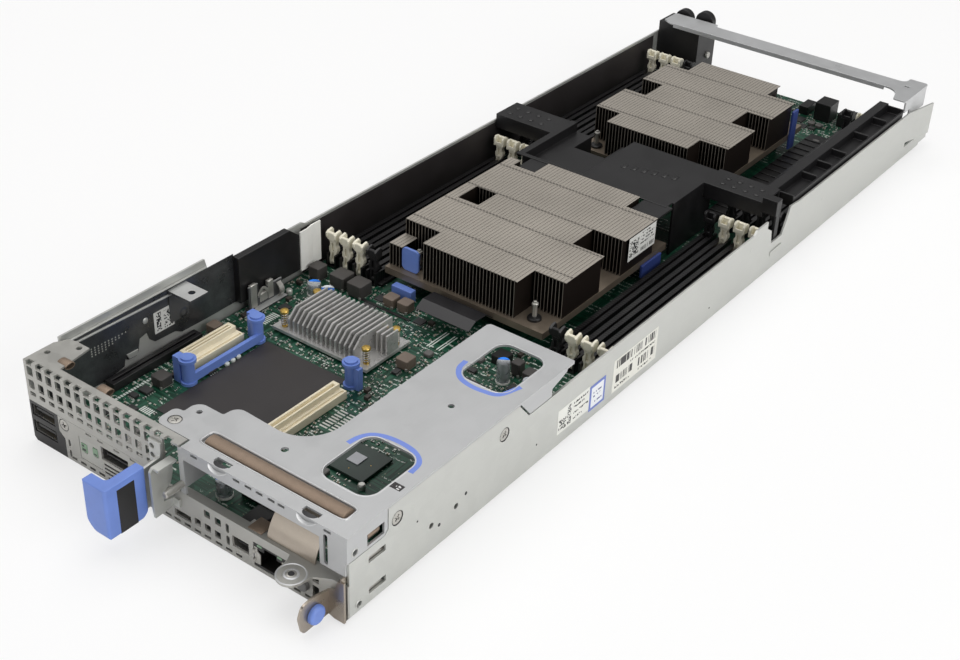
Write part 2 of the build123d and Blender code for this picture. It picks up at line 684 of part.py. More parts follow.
# Chipset cooler
chip_x = (-61.0, -4.0)
chip_y = (116.5, 147.0)
chip_base_z = (8.0, 9.5)
chip_fin_count = 15
chip_fin_pitch = 2.8
chip_fin_first = -52.2
chip_fin_thick = 0.9
chip_fin_top = 20.3
with BuildPart() as chipset_base:
    slab(chip_x, chip_y, chip_base_z)
    slab((-45.0, -20.0), (121.0, 143.0), (board_top, chip_base_z[0]))
save(chipset_base.part, "chipset_base")

with BuildPart() as chipset_fins:
    for fin in range(chip_fin_count):
        fin_x = chip_fin_first + fin * chip_fin_pitch
        with BuildSketch(Plane.YZ.offset(fin_x - chip_fin_thick / 2)):
            outline([(chip_y[0] + 2, chip_base_z[1]), (chip_y[0] + 2, 15.5), (chip_y[0] + 7, chip_fin_top),
                     (chip_y[1] - 2, chip_fin_top), (chip_y[1] - 2, chip_base_z[1])])
        extrude(amount=chip_fin_thick)
    for fin_x in (-10.2, -7.4, -4.6):
        slab((fin_x - chip_fin_thick / 2, fin_x + chip_fin_thick / 2), (131.0, 139.0), (chip_base_z[1], chip_fin_top - 0.5))
save(chipset_fins.part, "chipset_fins")

pin_spots = [(-56.4, 120.2), (-7.8, 121.0), (-7.6, 141.6), (-56.4, 142.6)]
with BuildPart() as push_pins:
    for spot_x, spot_y in pin_spots:
        stud(spot_x, spot_y, (chip_base_z[1], 17.4), 1.1)
        stud(spot_x, spot_y, (chip_base_z[1], 14.6), 1.9)
        stud(spot_x, spot_y, (16.6, 18.2), 2.1)
save(push_pins.part, "push_pins")

# Small parts on the board
with BuildPart() as board_capacitors:
    for cap_x, cap_y, cap_top, cap_r in ((-67.5, 152.4, 13.2, 3.6), (-58.9, 152.6, 13.2, 3.6),
                                        (45.5, 151.5, 18.0, 3.3), (6.8, 18.0, 15.0, 3.6)):
        stud(cap_x, cap_y, (board_top, cap_top), cap_r)
save(board_capacitors.part, "board_capacitors")

with BuildPart() as dark_inductors:
    for coil_x, coil_y, coil_w in ((-76.5, 165.0, 7.0), (-62.5, 166.8, 9.0), (-51.0, 166.3, 9.0),
                                  (56.4, 157.3, 6.0), (47.4, 160.2, 5.0)):
        slab((coil_x - coil_w / 2, coil_x + coil_w / 2), (coil_y - coil_w / 2, coil_y + coil_w / 2),
             (board_top, socket_top))
save(dark_inductors.part, "dark_inductors")

tan_coil_top = 12.0
with BuildPart() as tan_inductors:
    for coil_x, coil_y, coil_w in ((-68.0, 54.6, 7.0), (-79.5, 98.0, 6.0), (-32.8, 168.6, 6.4),
                                  (-24.6, 169.2, 6.4), (4.9, 133.3, 7.0)):
        slab((coil_x - coil_w / 2, coil_x + coil_w / 2), (coil_y - coil_w / 2, coil_y + coil_w / 2),
             (board_top, tan_coil_top))
save(tan_inductors.part, "tan_inductors")

with BuildPart() as management_chip:
    slab((25.5, 44.8), (57.0, 76.3), (board_top, 9.0))
    slab((30.5, 37.5), (63.5, 70.5), (9.0, 9.8))
save(management_chip.part, "management_chip")

# Black connectors on the board
with BuildPart() as board_connectors:
    slab((-board_half + 0.2, -board_half + 5.8), (37.0, 90.0), (board_top, 11.0))
    slab((-board_half + 2.4, -board_half + 3.6), (39.0, 88.0), (8.5, 12.0), mode=Mode.SUBTRACT)
    slab((12.0, 34.0), (22.0, 30.0), (board_top, 14.0))
    slab((riser_x - 2.6, riser_x + riser_thick + 2.6), (24.0, 92.0), (board_top, board_top + 4.6))
    slab((riser_x - 8.4, riser_x - 0.1), (24.0, 90.0), (18.0, 28.0))
    slab((power_x - 3.5, power_x + 3.5), (board_near + 0.2, 8.5), (board_top, 10.4))
    slab((27.0, 37.0), (board_far - 19, board_far - 7), (board_top, 18.0))
    slab((42.0, 58.0), (board_far - 19, board_far - 9), (board_top, 15.0))
    slab((16.0, 22.0), (board_far - 17, board_far - 5), (board_top, 12.0))
save(board_connectors.part, "board_connectors")

# Memory sockets, four on each side of each processor
bank_x = [side * (bank_first[side] + bank_pitch * slot) for side in (-1, 1) for slot in range(bank_slots)]
cheek = 1.0
with BuildPart() as memory_sockets:
    for bank_y in (bank_near_y, bank_far_y):
        for slot_x in bank_x:
            half = socket_w / 2
            inner = latch_reach - 4.0
            outer = latch_reach + 3.0
            slab((slot_x - half, slot_x + half), (bank_y - inner, bank_y + inner), (board_top, socket_top))
            slab((slot_x - half, slot_x + half), (bank_y - outer, bank_y + outer), (board_top, board_top + 0.3))
            for side in (-1, 1):
                edge = slot_x + side * (half - cheek / 2)
                slab((edge - cheek / 2, edge + cheek / 2), (bank_y - outer, bank_y + outer),
                     (board_top, socket_top))
            slab((slot_x - 0.7, slot_x + 0.7), (bank_y - inner - 1, bank_y + inner + 1),
                 (socket_top - 3.5, socket_top + 1), mode=Mode.SUBTRACT)
save(memory_sockets.part, "memory_sockets")


def latch_row(side, bank_y, end):
    """Four upright latches at one end of a bank, leaning out towards end."""
    with BuildPart() as row:
        for slot in range(bank_slots):
            latch_x = side * (bank_first[side] + bank_pitch * slot)
            pivot_y = bank_y + end * latch_reach
            with BuildSketch(Plane.YZ.offset(latch_x - latch_neck_w / 2)):
                with Locations((pivot_y, latch_pivot_z)):
                    Circle(latch_neck_half)
                outline([(pivot_y - end * latch_neck_half, latch_pivot_z),
                         (pivot_y - end * latch_neck_half, latch_head_low),
                         (pivot_y + end * latch_neck_half, latch_head_low),
                         (pivot_y + end * latch_neck_half, latch_pivot_z)])
            extrude(amount=latch_neck_w)
            with BuildSketch(Plane.YZ.offset(latch_x - latch_head_w / 2)):
                outline([(pivot_y - end * 2.4, latch_head_low - 1), (pivot_y - end * 2.4, latch_top),
                         (pivot_y + end * 3.0, latch_top - 1.0), (pivot_y + end * 3.0, latch_head_low),
                         (pivot_y + end * latch_neck_half, latch_head_low - 1)])
            extrude(amount=latch_head_w)
    return row.part


for side, side_name in ((-1, "left"), (1, "right")):
    for bank_y, end, row_name in ((bank_near_y, -1, "one"), (bank_near_y, 1, "two"),
                                  (bank_far_y, -1, "three"), (bank_far_y, 1, "four")):
        save(latch_row(side, bank_y, end), f"latches_{side_name}_{row_name}")

# Processor sockets and packages
sinks = [(sink_one_x, sink_one_y, sink_one_half), (sink_two_x, sink_two_y, sink_two_half)]
with BuildPart() as processor_sockets:
    for centre_x, centre_y, half_x in sinks:
        slab((centre_x - socket_half_x, centre_x + socket_half_x), (centre_y - socket_half_y, centre_y + socket_half_y),
             (board_top, package_low))
save(processor_sockets.part, "processor_sockets")

sink_base_low = sink_base_top - sink_base_thick
with BuildPart() as processors:
    for centre_x, centre_y, half_x in sinks:
        slab((centre_x - package_half_x, centre_x + package_half_x),
             (centre_y - package_half_y, centre_y + package_half_y), (package_low, sink_base_low))
save(processors.part, "processors")

with BuildPart() as sink_bases:
    for centre_x, centre_y, half_x in sinks:
        slab((centre_x - half_x, centre_x + half_x), (centre_y - sink_half_len, centre_y + sink_half_len),
             (sink_base_low, sink_base_top))
save(sink_bases.part, "sink_bases")

# Screws that hold the sinks down
sink_screw_r = 2.1
sink_screw_spots = [(36.5, 187.5), (-33.0, 189.5), (-33.0, 281.5), (38.0, 281.5),
                    (-40.0, 356.0), (28.0, 356.0), (-40.0, 450.0), (28.0, 450.0)]
with BuildPart() as sink_screws:
    for spot_x, spot_y in sink_screw_spots:
        stud(spot_x, spot_y, (sink_base_top, 27.5), sink_screw_r)
        stud(spot_x, spot_y, (sink_base_top, sink_base_top + 1.2), sink_screw_r + 0.9)
        stud(spot_x, spot_y, (26.9, 28.5), sink_screw_r - 0.8)
save(sink_screws.part, "sink_screws")

fin_high = sink_top - sink_base_top
low_fin_count = 4
low_fin_left = -45.6
low_fin_top = 30.5


def fin_pack(centre_x, half_x):
    """Sections of upright fins with folded tops that almost close, about centre_x."""
    count = round(2 * half_x / fin_pitch)
    with Locations((centre_x, 0)):
        with GridLocations(fin_pitch, 1, count, 1):
            with Locations((0, sink_base_top + fin_high / 2)):
                Rectangle(fin_thick, fin_high)
            with Locations(((fin_pitch - fin_gap - fin_thick) / 2, sink_top - fin_thick / 2)):
                Rectangle(fin_pitch - fin_gap, fin_thick)


with BuildPart() as sink_one_fins:
    with BuildSketch(Plane.XZ.offset(-(sink_one_y + sink_half_len + 1))):
        fin_pack(sink_one_x, sink_one_half)
    extrude(amount=2 * sink_half_len + 2)
    with BuildSketch(Plane.XY.offset(sink_base_top)):
        outline([(-47, 194.8), (-47, 280.8), (-39.3, 280.8), (-39.3, 274.5), (-26.3, 274.5), (-26.3, 287.5),
                 (29.4, 287.5), (29.4, 274.3), (48, 274.3), (48, 244.8), (29.7, 244.8), (29.7, 226.5),
                 (48, 226.5), (48, 195), (30.2, 195), (30.2, 181.5), (-24.5, 181.5), (-24.5, 194.8)])
        pane((-39.5, -27.1), (228, 243.5), mode=Mode.SUBTRACT)
    extrude(amount=fin_high, mode=Mode.INTERSECT)
    for fin in range(low_fin_count):
        fin_x = low_fin_left + fin * fin_pitch
        slab((fin_x, fin_x + fin_thick), (182.5, 194.4), (sink_base_top, low_fin_top))
        slab((fin_x, fin_x + fin_pitch - fin_gap), (182.5, 194.4), (low_fin_top - fin_thick, low_fin_top))
save(sink_one_fins.part, "sink_one_fins")

with BuildPart() as sink_two_fins:
    with BuildSketch(Plane.XZ.offset(-(sink_two_y + sink_half_len + 1))):
        fin_pack(sink_two_x, sink_two_half)
    extrude(amount=2 * sink_half_len + 2)
    with BuildSketch(Plane.XY.offset(sink_base_top)):
        outline([(-31.4, 350.5), (19.7, 350.5), (19.7, 364), (37, 364), (37, 394), (21.8, 394), (21.8, 413),
                 (37, 413), (37, 441), (19.3, 441), (19.3, 457.3), (-32.8, 457.3), (-32.8, 441),
                 (-48, 441), (-48, 413), (-33.5, 413), (-33.5, 394), (-48, 394), (-48, 364), (-31.4, 364)])
    extrude(amount=fin_high, mode=Mode.INTERSECT)
save(sink_two_fins.part, "sink_two_fins")

# Blue clips and levers of the sinks
with BuildPart() as sink_clips:
    with BuildSketch(Plane.XZ.offset(-183.0)):
        with Locations((-33.4, (sink_base_top + 30.8) / 2)):
            RectangleRounded(10.4, 30.8 - sink_base_top, 2.6)
    extrude(amount=-1.4)
    slab((-38.0, -26.0), (sink_one_near - 4.9, sink_one_near - 0.9), (board_top + seat_gap, 13.4))
    slab((sink_one_x + sink_one_half + 0.1, sink_one_x + sink_one_half + 1.6), (263, 281), (9.5, 16.4))
    slab((sink_two_x + sink_two_half + 0.1, sink_two_x + sink_two_half + 1.6), (440.5, 447.0), (9.5, 33.0))
save(sink_clips.part, "sink_clips")

# Air shroud between the two sinks, with an arm over each memory bank
leg_near = 296.0
leg_far = 335.0
pocket_x = (shroud_left + 4.0, -8.5)
pocket_near = shroud_near + 4.5
pocket_low = 29.8
hatch_x = (-35.0, -15.5)
hatch_near = 325.0
hatch_low = 20.0
hook_right = wall_in - 0.3
hook_shelf = 31.0
hook_top = 39.4
with BuildPart() as air_shroud:
    with BuildSketch(Plane.XY.offset(shroud_top - shroud_thick)):
        pane((shroud_left, shroud_right), (shroud_near + 2, shroud_far))
        pane((-38.9, -26.7), (275.2, shroud_near + 3))
        pane((30.4, shroud_right + 3), (275.2, shroud_near + 3))
        pane((arm_left, shroud_left), (arm_near, shroud_far - 1))
        pane((shroud_right, arm_right), (arm_near + 4, shroud_far + 2.5))
        pane(pocket_x, (pocket_near, shroud_far), mode=Mode.SUBTRACT)
    extrude(amount=shroud_thick)
    slab((arm_left, shroud_left), (arm_near, arm_near + shroud_thick), (shroud_skirt, shroud_top))
    slab((arm_left, shroud_left), (shroud_far - 1 - shroud_thick, shroud_far - 1), (shroud_skirt, shroud_top))
    slab((shroud_right, arm_right), (arm_near + 4, arm_near + 4 + shroud_thick), (shroud_skirt, shroud_top))
    slab((shroud_right, arm_right), (shroud_far + 2.5 - shroud_thick, shroud_far + 2.5), (shroud_skirt, shroud_top))
    slab((shroud_left + 0.6, shroud_left + 0.6 + shroud_thick), (leg_near, leg_far),
         (board_top + seat_gap, shroud_top))
    slab((shroud_right, shroud_right + shroud_thick), (leg_near, leg_far), (board_top + seat_gap, shroud_top))
    for edge_x in (pocket_x[0] - shroud_thick, pocket_x[1]):
        slab((edge_x, edge_x + shroud_thick), (pocket_near - shroud_thick, shroud_far), (pocket_low, shroud_top))
    slab(pocket_x, (pocket_near - shroud_thick, pocket_near), (pocket_low, shroud_top))
    with BuildSketch(Plane.XY.offset(pocket_low)):
        pane(pocket_x, (pocket_near, shroud_far))
        pane(hatch_x, (hatch_near, shroud_far), mode=Mode.SUBTRACT)
    extrude(amount=shroud_thick)
    for edge_x in (hatch_x[0] - shroud_thick, hatch_x[1]):
        slab((edge_x, edge_x + shroud_thick), (hatch_near, shroud_far), (hatch_low, pocket_low + shroud_thick))
    slab((hatch_x[0] - shroud_thick, hatch_x[1] + shroud_thick), (hatch_near - shroud_thick, hatch_near),
         (hatch_low, pocket_low + shroud_thick))
    slab((arm_right - 0.5, hook_right), (arm_near + 4, arm_near + 9.5), (hook_shelf, hook_top))
    slab((hook_right - 1.3, hook_right), (arm_near + 5, arm_near + 9), (hook_floor - 0.5, hook_top))
save(air_shroud.part, "air_shroud")

# Side baffle over the outer right memory slots
baffle_near = 345.6
baffle_far = 482.5
ridge_w = 5.5
trough_low = 29.8
rib_y = [373.5, 391.0, 408.5, 436.5, 461.0]
baffle_top = 36.0
baffle_x = (wall_in - 15.7, wall_in - 0.8)
with BuildPart() as side_baffle:
    slab((baffle_x[0], baffle_x[0] + ridge_w), (baffle_near, baffle_far), (baffle_top - 1.2, baffle_top))
    slab((baffle_x[0], baffle_x[0] + 1.0), (baffle_near, baffle_far), (28.5, baffle_top))
    slab((baffle_x[0] + ridge_w - 1.0, baffle_x[0] + ridge_w), (baffle_near, baffle_far), (trough_low, baffle_top))
    slab((baffle_x[0] + ridge_w, baffle_x[1]), (baffle_near, baffle_far), (trough_low, trough_low + 1.2))
    slab((baffle_x[1] - 1.0, baffle_x[1]), (baffle_near, baffle_far), (board_top, baffle_top - 2.0))
    for rib_near in rib_y:
        slab((baffle_x[0] + ridge_w, baffle_x[1] - 1.0), (rib_near, rib_near + 1.4), (trough_low, baffle_top - 1.0))
    slab(baffle_x, (baffle_near, baffle_near + 1.0), (28.5, baffle_top - 1.0))
    slab(baffle_x, (baffle_far - 1.0, baffle_far), (28.5, baffle_top - 1.0))
save(side_baffle.part, "side_baffle")

# Crossbar over the far end
bar_near = 494.0
bar_far = 507.0
bar_left = -wall_in + 3.2
pad_far = 513.4
pad_near = 481.0
pad_left = 74.8
fold_low = 28.0
bar_right = wall_in - seat_gap
with BuildPart() as crossbar:
    with BuildSketch(Plane.XY.offset(plate_low)):
        rounded([(bar_left, bar_near + 3), (bar_left + 6, bar_near), (pad_left, bar_near), (pad_left + 3.5, pad_near),
                 (bar_right, pad_near), (bar_right, pad_far), (pad_left, pad_far), (pad_left, bar_far),
                 (-52.0, bar_far + 0.5), (-52.4, pad_far - 2.4), (bar_left, pad_far - 2.4)],
                [0.6, 2.0, 9.0, 1.5, 1.0, 2.0, 1.0, 4.0, 1.5, 1.0, 2.0])
        with Locations((77.6, 501.4)):
            SlotOverall(3.2, 1.6, mode=Mode.SUBTRACT)
    extrude(amount=sheet)
    slab((bar_right - sheet, bar_right), (pad_near + 1, pad_far - 2), (plate_low - 6.5, plate_low))
    slab((bar_right - sheet, bar_right), (bar_near - 4, pad_far - 2), (fold_low, plate_low))
    slab((bar_left + 8, pad_left - 8), (bar_near, bar_near + sheet), (plate_low - 1.6, plate_low))
save(crossbar.part, "crossbar")

# Black end block under the left pad
block_x = (-wall_in + 0.4, -57.0)
block_y = (495.5, 518.0)
lugs = [(block_x[0] + 7.2, 36.8, 6.0), (block_x[0] + 21.9, 38.8, 6.2)]
with BuildPart() as end_block:
    slab(block_x, (block_y[0], pad_far - 0.6), (board_top, plate_low))
    slab(block_x, (pad_far - 0.6, block_y[1]), (board_top + 3, plate_low - 2))
    for lug_centre_x, lug_centre_z, lug_radius in lugs:
        with BuildSketch(Plane.XZ.offset(-block_y[1])):
            with Locations((lug_centre_x, lug_centre_z)):
                Circle(lug_radius)
        extrude(amount=block_y[1] - pad_far)
save(end_block.part, "end_block")

# Pieces along the left wall
cover_z = (12.0, 36.4)
with BuildPart() as cable_cover:
    with BuildSketch(Plane.YZ.offset(-wall_in + seat_gap)):
        outline([(117.9, cover_z[0]), (117.9, cover_z[1]), (152.4, cover_z[1]), (163.4, 27.5), (163.4, cover_z[0])])
    extrude(amount=4.0)
save(cable_cover.part, "cable_cover")

with BuildPart() as wall_brackets:
    slab((-wall_in, -71.5), (77.5, 88.5), (36.0, 37.0))
    slab((-wall_in, -wall_in + sheet), (77.5, 88.5), (20.0, 37.0))
    stud(-76.5, 83.3, (35, 38), 1.6, mode=Mode.SUBTRACT)
    slab((-80.6, -79.6), (121.0, 143.0), (board_top, 12.0))
    slab((-80.6, -79.6), (121.0, 127.0), (12.0, 20.0))
    slab((-80.6, -79.6), (133.0, 143.0), (12.0, 16.0))
    slab((-80.6, -76.0), (121.0, 143.0), (board_top, board_top + 1.0))
save(wall_brackets.part, "wall_brackets")

# White tape strap and the black pull tab in front of the first sink
with BuildPart() as white_strap:
    with BuildSketch(Plane.XY.offset(11.5)):
        outline([(-81.9, 158.5), (-81.2, 158.5), (-81.2, 163.6), (-82.2, 168.0), (-82.1, 173.8), (-82.8, 174.0),
                 (-83.0, 168.0), (-81.9, 163.6)])
    extrude(amount=21.5)
save(white_strap.part, "white_strap")

with BuildPart() as pull_tab:
    with BuildSketch(Plane.YZ.offset(-12.0)):
        outline([(sink_one_near - 0.2, 16.0), (sink_one_near - 5, 20.0), (166.0, 20.4), (160.6, 17.4), (160.9, 17.0),
                 (166.1, 19.9), (sink_one_near - 5.2, 19.5), (sink_one_near - 0.2, 15.4)])
    extrude(amount=31.0)
save(pull_tab.part, "pull_tab")

# Countersunk screws, and the captive screw in the lug
shank_r = 1.3
with BuildPart() as screws:
    stud(lug_x, lug_y, (shelf_top - 5, shelf_top), lug_hole_r - 0.15)
    stud(lug_x, lug_y, (shelf_top, shelf_top + 1.2), lug_hole_r + 0.8)
    with Locations((lug_x, lug_y, shelf_top + 1.0)):
        Box(2.6, 0.6, 0.8, mode=Mode.SUBTRACT)
        Box(0.6, 2.6, 0.8, mode=Mode.SUBTRACT)
    for screw_y, screw_z in side_screws:
        with BuildSketch(Plane.YZ.offset(wall_in)):
            with Locations((screw_y, screw_z)):
                Circle(screw_head_r)
        extrude(amount=sheet - 0.05)
        with BuildSketch(Plane.YZ.offset(wall_in)):
            with Locations((screw_y, screw_z)):
                Circle(shank_r)
        extrude(amount=-3.0)
    stud(cover_screw[0], cover_screw[1], (plate_low, plate_top - 0.05), face_screw_r)
    stud(cover_screw[0], cover_screw[1], (plate_low - 6, plate_low), shank_r)
    with BuildSketch(front_plane):
        with Locations(face_screw):
            Circle(face_screw_r)
    extrude(amount=sheet - 0.05)
    with BuildSketch(front_plane):
        with Locations(face_screw):
            Circle(shank_r)
    extrude(amount=-2.5)
save(screws.part, "screws")
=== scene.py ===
import math

import json

import bmesh
import bpy
import numpy as np
from bpy.props import FloatProperty, FloatVectorProperty, IntProperty, PointerProperty
from mathutils import Matrix, Vector


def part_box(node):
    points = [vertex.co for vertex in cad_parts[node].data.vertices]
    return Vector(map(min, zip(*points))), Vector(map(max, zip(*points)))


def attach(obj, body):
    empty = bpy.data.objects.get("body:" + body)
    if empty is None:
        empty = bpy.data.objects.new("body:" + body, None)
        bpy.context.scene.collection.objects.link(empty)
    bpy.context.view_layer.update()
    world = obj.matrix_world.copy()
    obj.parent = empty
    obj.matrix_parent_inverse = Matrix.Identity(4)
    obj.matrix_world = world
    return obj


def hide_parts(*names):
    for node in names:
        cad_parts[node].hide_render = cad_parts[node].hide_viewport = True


bl_info = {
    "name": "Half-width Server Sled",
    "version": (1, 0, 0),
    "blender": (4, 5, 0),
    "location": "3D View > Sidebar > Server Sled",
    "description": "Dresses the packed server sled with finishes, labels, ports and board parts",
    "category": "Add Mesh",
}

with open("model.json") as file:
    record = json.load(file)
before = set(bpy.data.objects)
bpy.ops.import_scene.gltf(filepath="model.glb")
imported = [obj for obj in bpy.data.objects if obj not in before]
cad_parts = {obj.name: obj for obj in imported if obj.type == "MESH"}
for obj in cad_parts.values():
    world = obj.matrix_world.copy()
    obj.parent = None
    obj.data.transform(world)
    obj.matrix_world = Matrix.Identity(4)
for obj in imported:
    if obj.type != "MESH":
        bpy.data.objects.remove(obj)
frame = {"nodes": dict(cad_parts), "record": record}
NODES = frame["nodes"]
RECORD = frame["record"]
BODY_OF = {n: b for b, names in RECORD["behaviour"]["bodies"].items() for n in names}
SLOT_OF = {s["node"]: s["material_slot"] for s in RECORD["subparts"]}
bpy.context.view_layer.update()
MM = 0.001
FULL = 2 * math.pi
COVER_TOP = 40.5
WALL_FACE = 87.2
LINER_FACE = -86.2
LUG = (66.7, -7.4)
# For each axis that a form turns about, where its own x, y and height go
TURN_ORDER = {2: (0, 1, 2), 1: (1, 2, 0), 0: (2, 0, 1)}
# For each axis that an outline's plane is square to, where its own two directions and height go
PLANE_ORDER = {2: (0, 1, 2), 1: (0, 2, 1), 0: (2, 0, 1)}


# ---------------------------------------------------------------- shader maths


class Wire:
    """A number or vector that flows through a node tree; arithmetic on it adds Math nodes."""

    def __init__(self, finish, socket):
        self.finish = finish
        self.socket = socket

    def _math(self, operation, *values):
        return self.finish.node("ShaderNodeMath", {"operation": operation}, dict(enumerate(values)))

    def __add__(self, other):
        return self._math("ADD", self, other)

    def __sub__(self, other):
        return self._math("SUBTRACT", self, other)

    def __rsub__(self, other):
        return self._math("SUBTRACT", other, self)

    def __mul__(self, other):
        return self._math("MULTIPLY", self, other)

    def __mod__(self, other):
        return self._math("FLOORED_MODULO", self, other)

    def __gt__(self, other):
        return self._math("GREATER_THAN", self, other)

    def __lt__(self, other):
        return self._math("LESS_THAN", self, other)

    def __abs__(self):
        return self._math("ABSOLUTE", self)

    def floor(self):
        return self._math("FLOOR", self)

    def at_most(self, other):
        return self._math("MINIMUM", self, other)

    def at_least(self, other):
        return self._math("MAXIMUM", self, other)

    def ramp(self, low, high, to_low=0.0, to_high=1.0):
        """Runs from to_low to to_high while this goes from low to high, and stays flat outside."""
        ends = {"Value": self, "From Min": low, "From Max": high, "To Min": to_low, "To Max": to_high}
        return self.finish.node("ShaderNodeMapRange", {"clamp": True}, ends)

    def near(self, centre, half, soft=0.05):
        """1 within half of centre, 0 beyond it."""
        return abs(self - centre).ramp(half, half + soft, 1.0, 0.0)

    def between(self, low, high):
        """1 from low to high, 0 beyond them."""
        return self.near((low + high) / 2, (high - low) / 2)


class Finish:
    """One procedural material: a Principled shader and the nodes in front of it. Lengths are in millimetres."""

    def __init__(self, name, colour, roughness=0.5, metallic=0.0):
        self.material = bpy.data.materials.new(name)
        self.material.use_nodes = True
        self.tree = self.material.node_tree
        self.tree.nodes.clear()
        output = self.tree.nodes.new("ShaderNodeOutputMaterial")
        self.shader = self.tree.nodes.new("ShaderNodeBsdfPrincipled")
        self.tree.links.new(self.shader.outputs[0], output.inputs["Surface"])
        self.colour = linear(colour)
        self.made = {}
        self.feed("Base Color", self.colour)
        self.feed("Roughness", roughness)
        self.feed("Metallic", metallic)

    def feed(self, socket, value):
        """Sets a shader socket to a number, or links it to a wire."""
        self._put(self.shader.inputs[socket], value)

    def _put(self, socket, value):
        if isinstance(value, Wire):
            self.tree.links.new(value.socket, socket)
        elif hasattr(value, "__len__") and len(value) == 3 and len(socket.default_value) == 4:
            socket.default_value = (*value, 1.0)
        else:
            socket.default_value = value

    def node(self, kind, settings, inputs, output=0):
        """Any node, from its type, its settings and the values or links of its sockets."""
        made = self.tree.nodes.new(kind)
        for key, value in settings.items():
            setattr(made, key, value)
        for key, value in inputs.items():
            self._put(made.inputs[key], value)
        return Wire(self, made.outputs[output])

    def tone(self, factor, lift=0.0):
        """The finish's own colour, brighter or darker."""
        return tuple(min(1.0, c * factor + lift) for c in self.colour)

    def place(self, scale=(1.0, 1.0, 1.0)):
        """Object coordinates in scaled millimetres."""
        if scale not in self.made:
            base = self.node("ShaderNodeTexCoord", {}, {}, "Object")
            size = {"Vector": base, "Scale": tuple(s / MM for s in scale)}
            self.made[scale] = self.node("ShaderNodeMapping", {}, size)
        return self.made[scale]

    def split(self, name, source):
        """x, y and z of a vector, made once."""
        if name not in self.made:
            parts = self.tree.nodes.new("ShaderNodeSeparateXYZ")
            self._put(parts.inputs[0], source())
            self.made[name] = [Wire(self, out) for out in parts.outputs]
        return self.made[name]

    def axes(self):
        """x, y and z in millimetres."""
        return self.split("axes", self.place)

    def facing(self):
        """x, y and z of the surface's own direction."""
        return self.split("facing", lambda: self.node("ShaderNodeNewGeometry", {}, {}, "True Normal"))

    def channel(self, colour, number=0):
        """One of a colour's three numbers."""
        return self.node("ShaderNodeSeparateColor", {}, {0: colour}, number)

    def chance(self, x, y, z):
        """An even random number for each cell."""
        spot = self.node("ShaderNodeCombineXYZ", {}, {0: x, 1: y, 2: z})
        return self.node("ShaderNodeTexWhiteNoise", {"noise_dimensions": "3D"}, {"Vector": spot})

    def noise(self, size, detail=3.0, scale=(1.0, 1.0, 1.0)):
        """Cloudy noise with blobs about size millimetres across."""
        inputs = {"Vector": self.place(scale), "Scale": 1.0 / size, "Detail": detail, "Roughness": 0.55}
        return self.node("ShaderNodeTexNoise", {}, inputs)

    def cells(self, size, output="Color"):
        """Voronoi cells about size millimetres across."""
        inputs = {"Vector": self.place(), "Scale": 1.0 / size}
        return self.node("ShaderNodeTexVoronoi", {"feature": "F1"}, inputs, output)

    def blend(self, factor, first, shade_colour):
        """A mix of two colours."""
        settings = {"data_type": "RGBA", "blend_type": "MIX"}
        return self.node("ShaderNodeMix", settings, {0: factor, 6: first, 7: shade_colour}, 2)

    def bump(self, height, distance, strength):
        """A surface direction from a height in millimetres, fed to the shader."""
        inputs = {"Height": height, "Distance": distance * MM, "Strength": strength}
        self.feed("Normal", self.node("ShaderNodeBump", {}, inputs))


def linear(colour):
    """A colour written as 0-255 sRGB numbers, as linear light."""
    c = np.asarray(colour, float) / 255.0
    return tuple(np.where(c <= 0.04045, c / 12.92, ((c + 0.055) / 1.055) ** 2.4))


# ---------------------------------------------------------------- finishes


def sheet_metal(name, colour, spangle=0.05, grain=0.35, metallic=0.55, roughness=0.38):
    """Zinc-coated sheet: faint crystal patches, fine rolling streaks and handling marks."""
    f = Finish(name, colour, roughness, metallic)
    patches = f.channel(f.cells(5.0))
    clouds = f.noise(24.0, 4.0)
    streaks = f.noise(0.9, 2.0, scale=(1.0, 0.05, 1.0))
    shade = (patches - 0.5) * spangle + (clouds - 0.5) * 0.10 + (streaks - 0.5) * 0.04 + 0.5
    f.feed("Base Color", f.blend(shade.ramp(0.35, 0.65), f.tone(0.84), f.tone(1.14)))
    f.feed("Roughness", (patches - 0.5) * 0.10 + (clouds - 0.5) * 0.18 + roughness)
    f.bump(f.noise(0.6, 3.0), 0.02, grain)
    return f


def moulded(name, colour, roughness=0.42, grain=0.35, worn=0.12):
    """Moulded plastic: fine spark-eroded grain, soft cloudiness and a little dust."""
    f = Finish(name, colour, roughness)
    clouds = f.noise(14.0, 4.0)
    f.feed("Base Color", f.blend(clouds.ramp(0.3, 0.7), f.tone(1 - worn), f.tone(1 + worn, 0.004)))
    f.feed("Roughness", (clouds - 0.5) * 0.2 + roughness)
    f.bump(f.noise(0.35, 2.0), 0.03, grain)
    return f


def bright_metal(name, colour, roughness=0.3, metallic=0.85, wear=0.1):
    """Plated or machined metal: soft cloudy tone and very fine tool marks."""
    f = Finish(name, colour, roughness, metallic)
    marks = f.noise(0.5, 2.0)
    clouds = f.noise(9.0, 3.0)
    f.feed("Base Color", f.blend((marks * 0.3 + clouds * 0.7).ramp(0.35, 0.65), f.tone(1 - wear), f.tone(1 + wear)))
    f.feed("Roughness", (clouds - 0.5) * 0.2 + roughness)
    f.bump(marks, 0.004, 0.25)
    return f


def printed(f, u, v, rows, seed):
    """Share of ink at (u, v): each row is (u0, u1, v0, v1, kind), with kind bars, marks or code."""
    ink = None
    for low_u, high_u, low_v, high_v, kind in rows:
        wide, tall, least = {"bars": (0.42, 99.0, 0.5), "marks": (0.62, 0.62, 0.42), "code": (0.62, 0.62, 0.5)}[kind]
        column = (u - low_u) * (1 / wide)
        line = (v - low_v) * (1 / tall)
        dark = f.chance(column.floor() + seed, line.floor(), low_u + low_v) > least
        share = u.between(low_u, high_u) * v.between(low_v, high_v) * dark
        ink = share if ink is None else ink.at_least(share)
    return ink


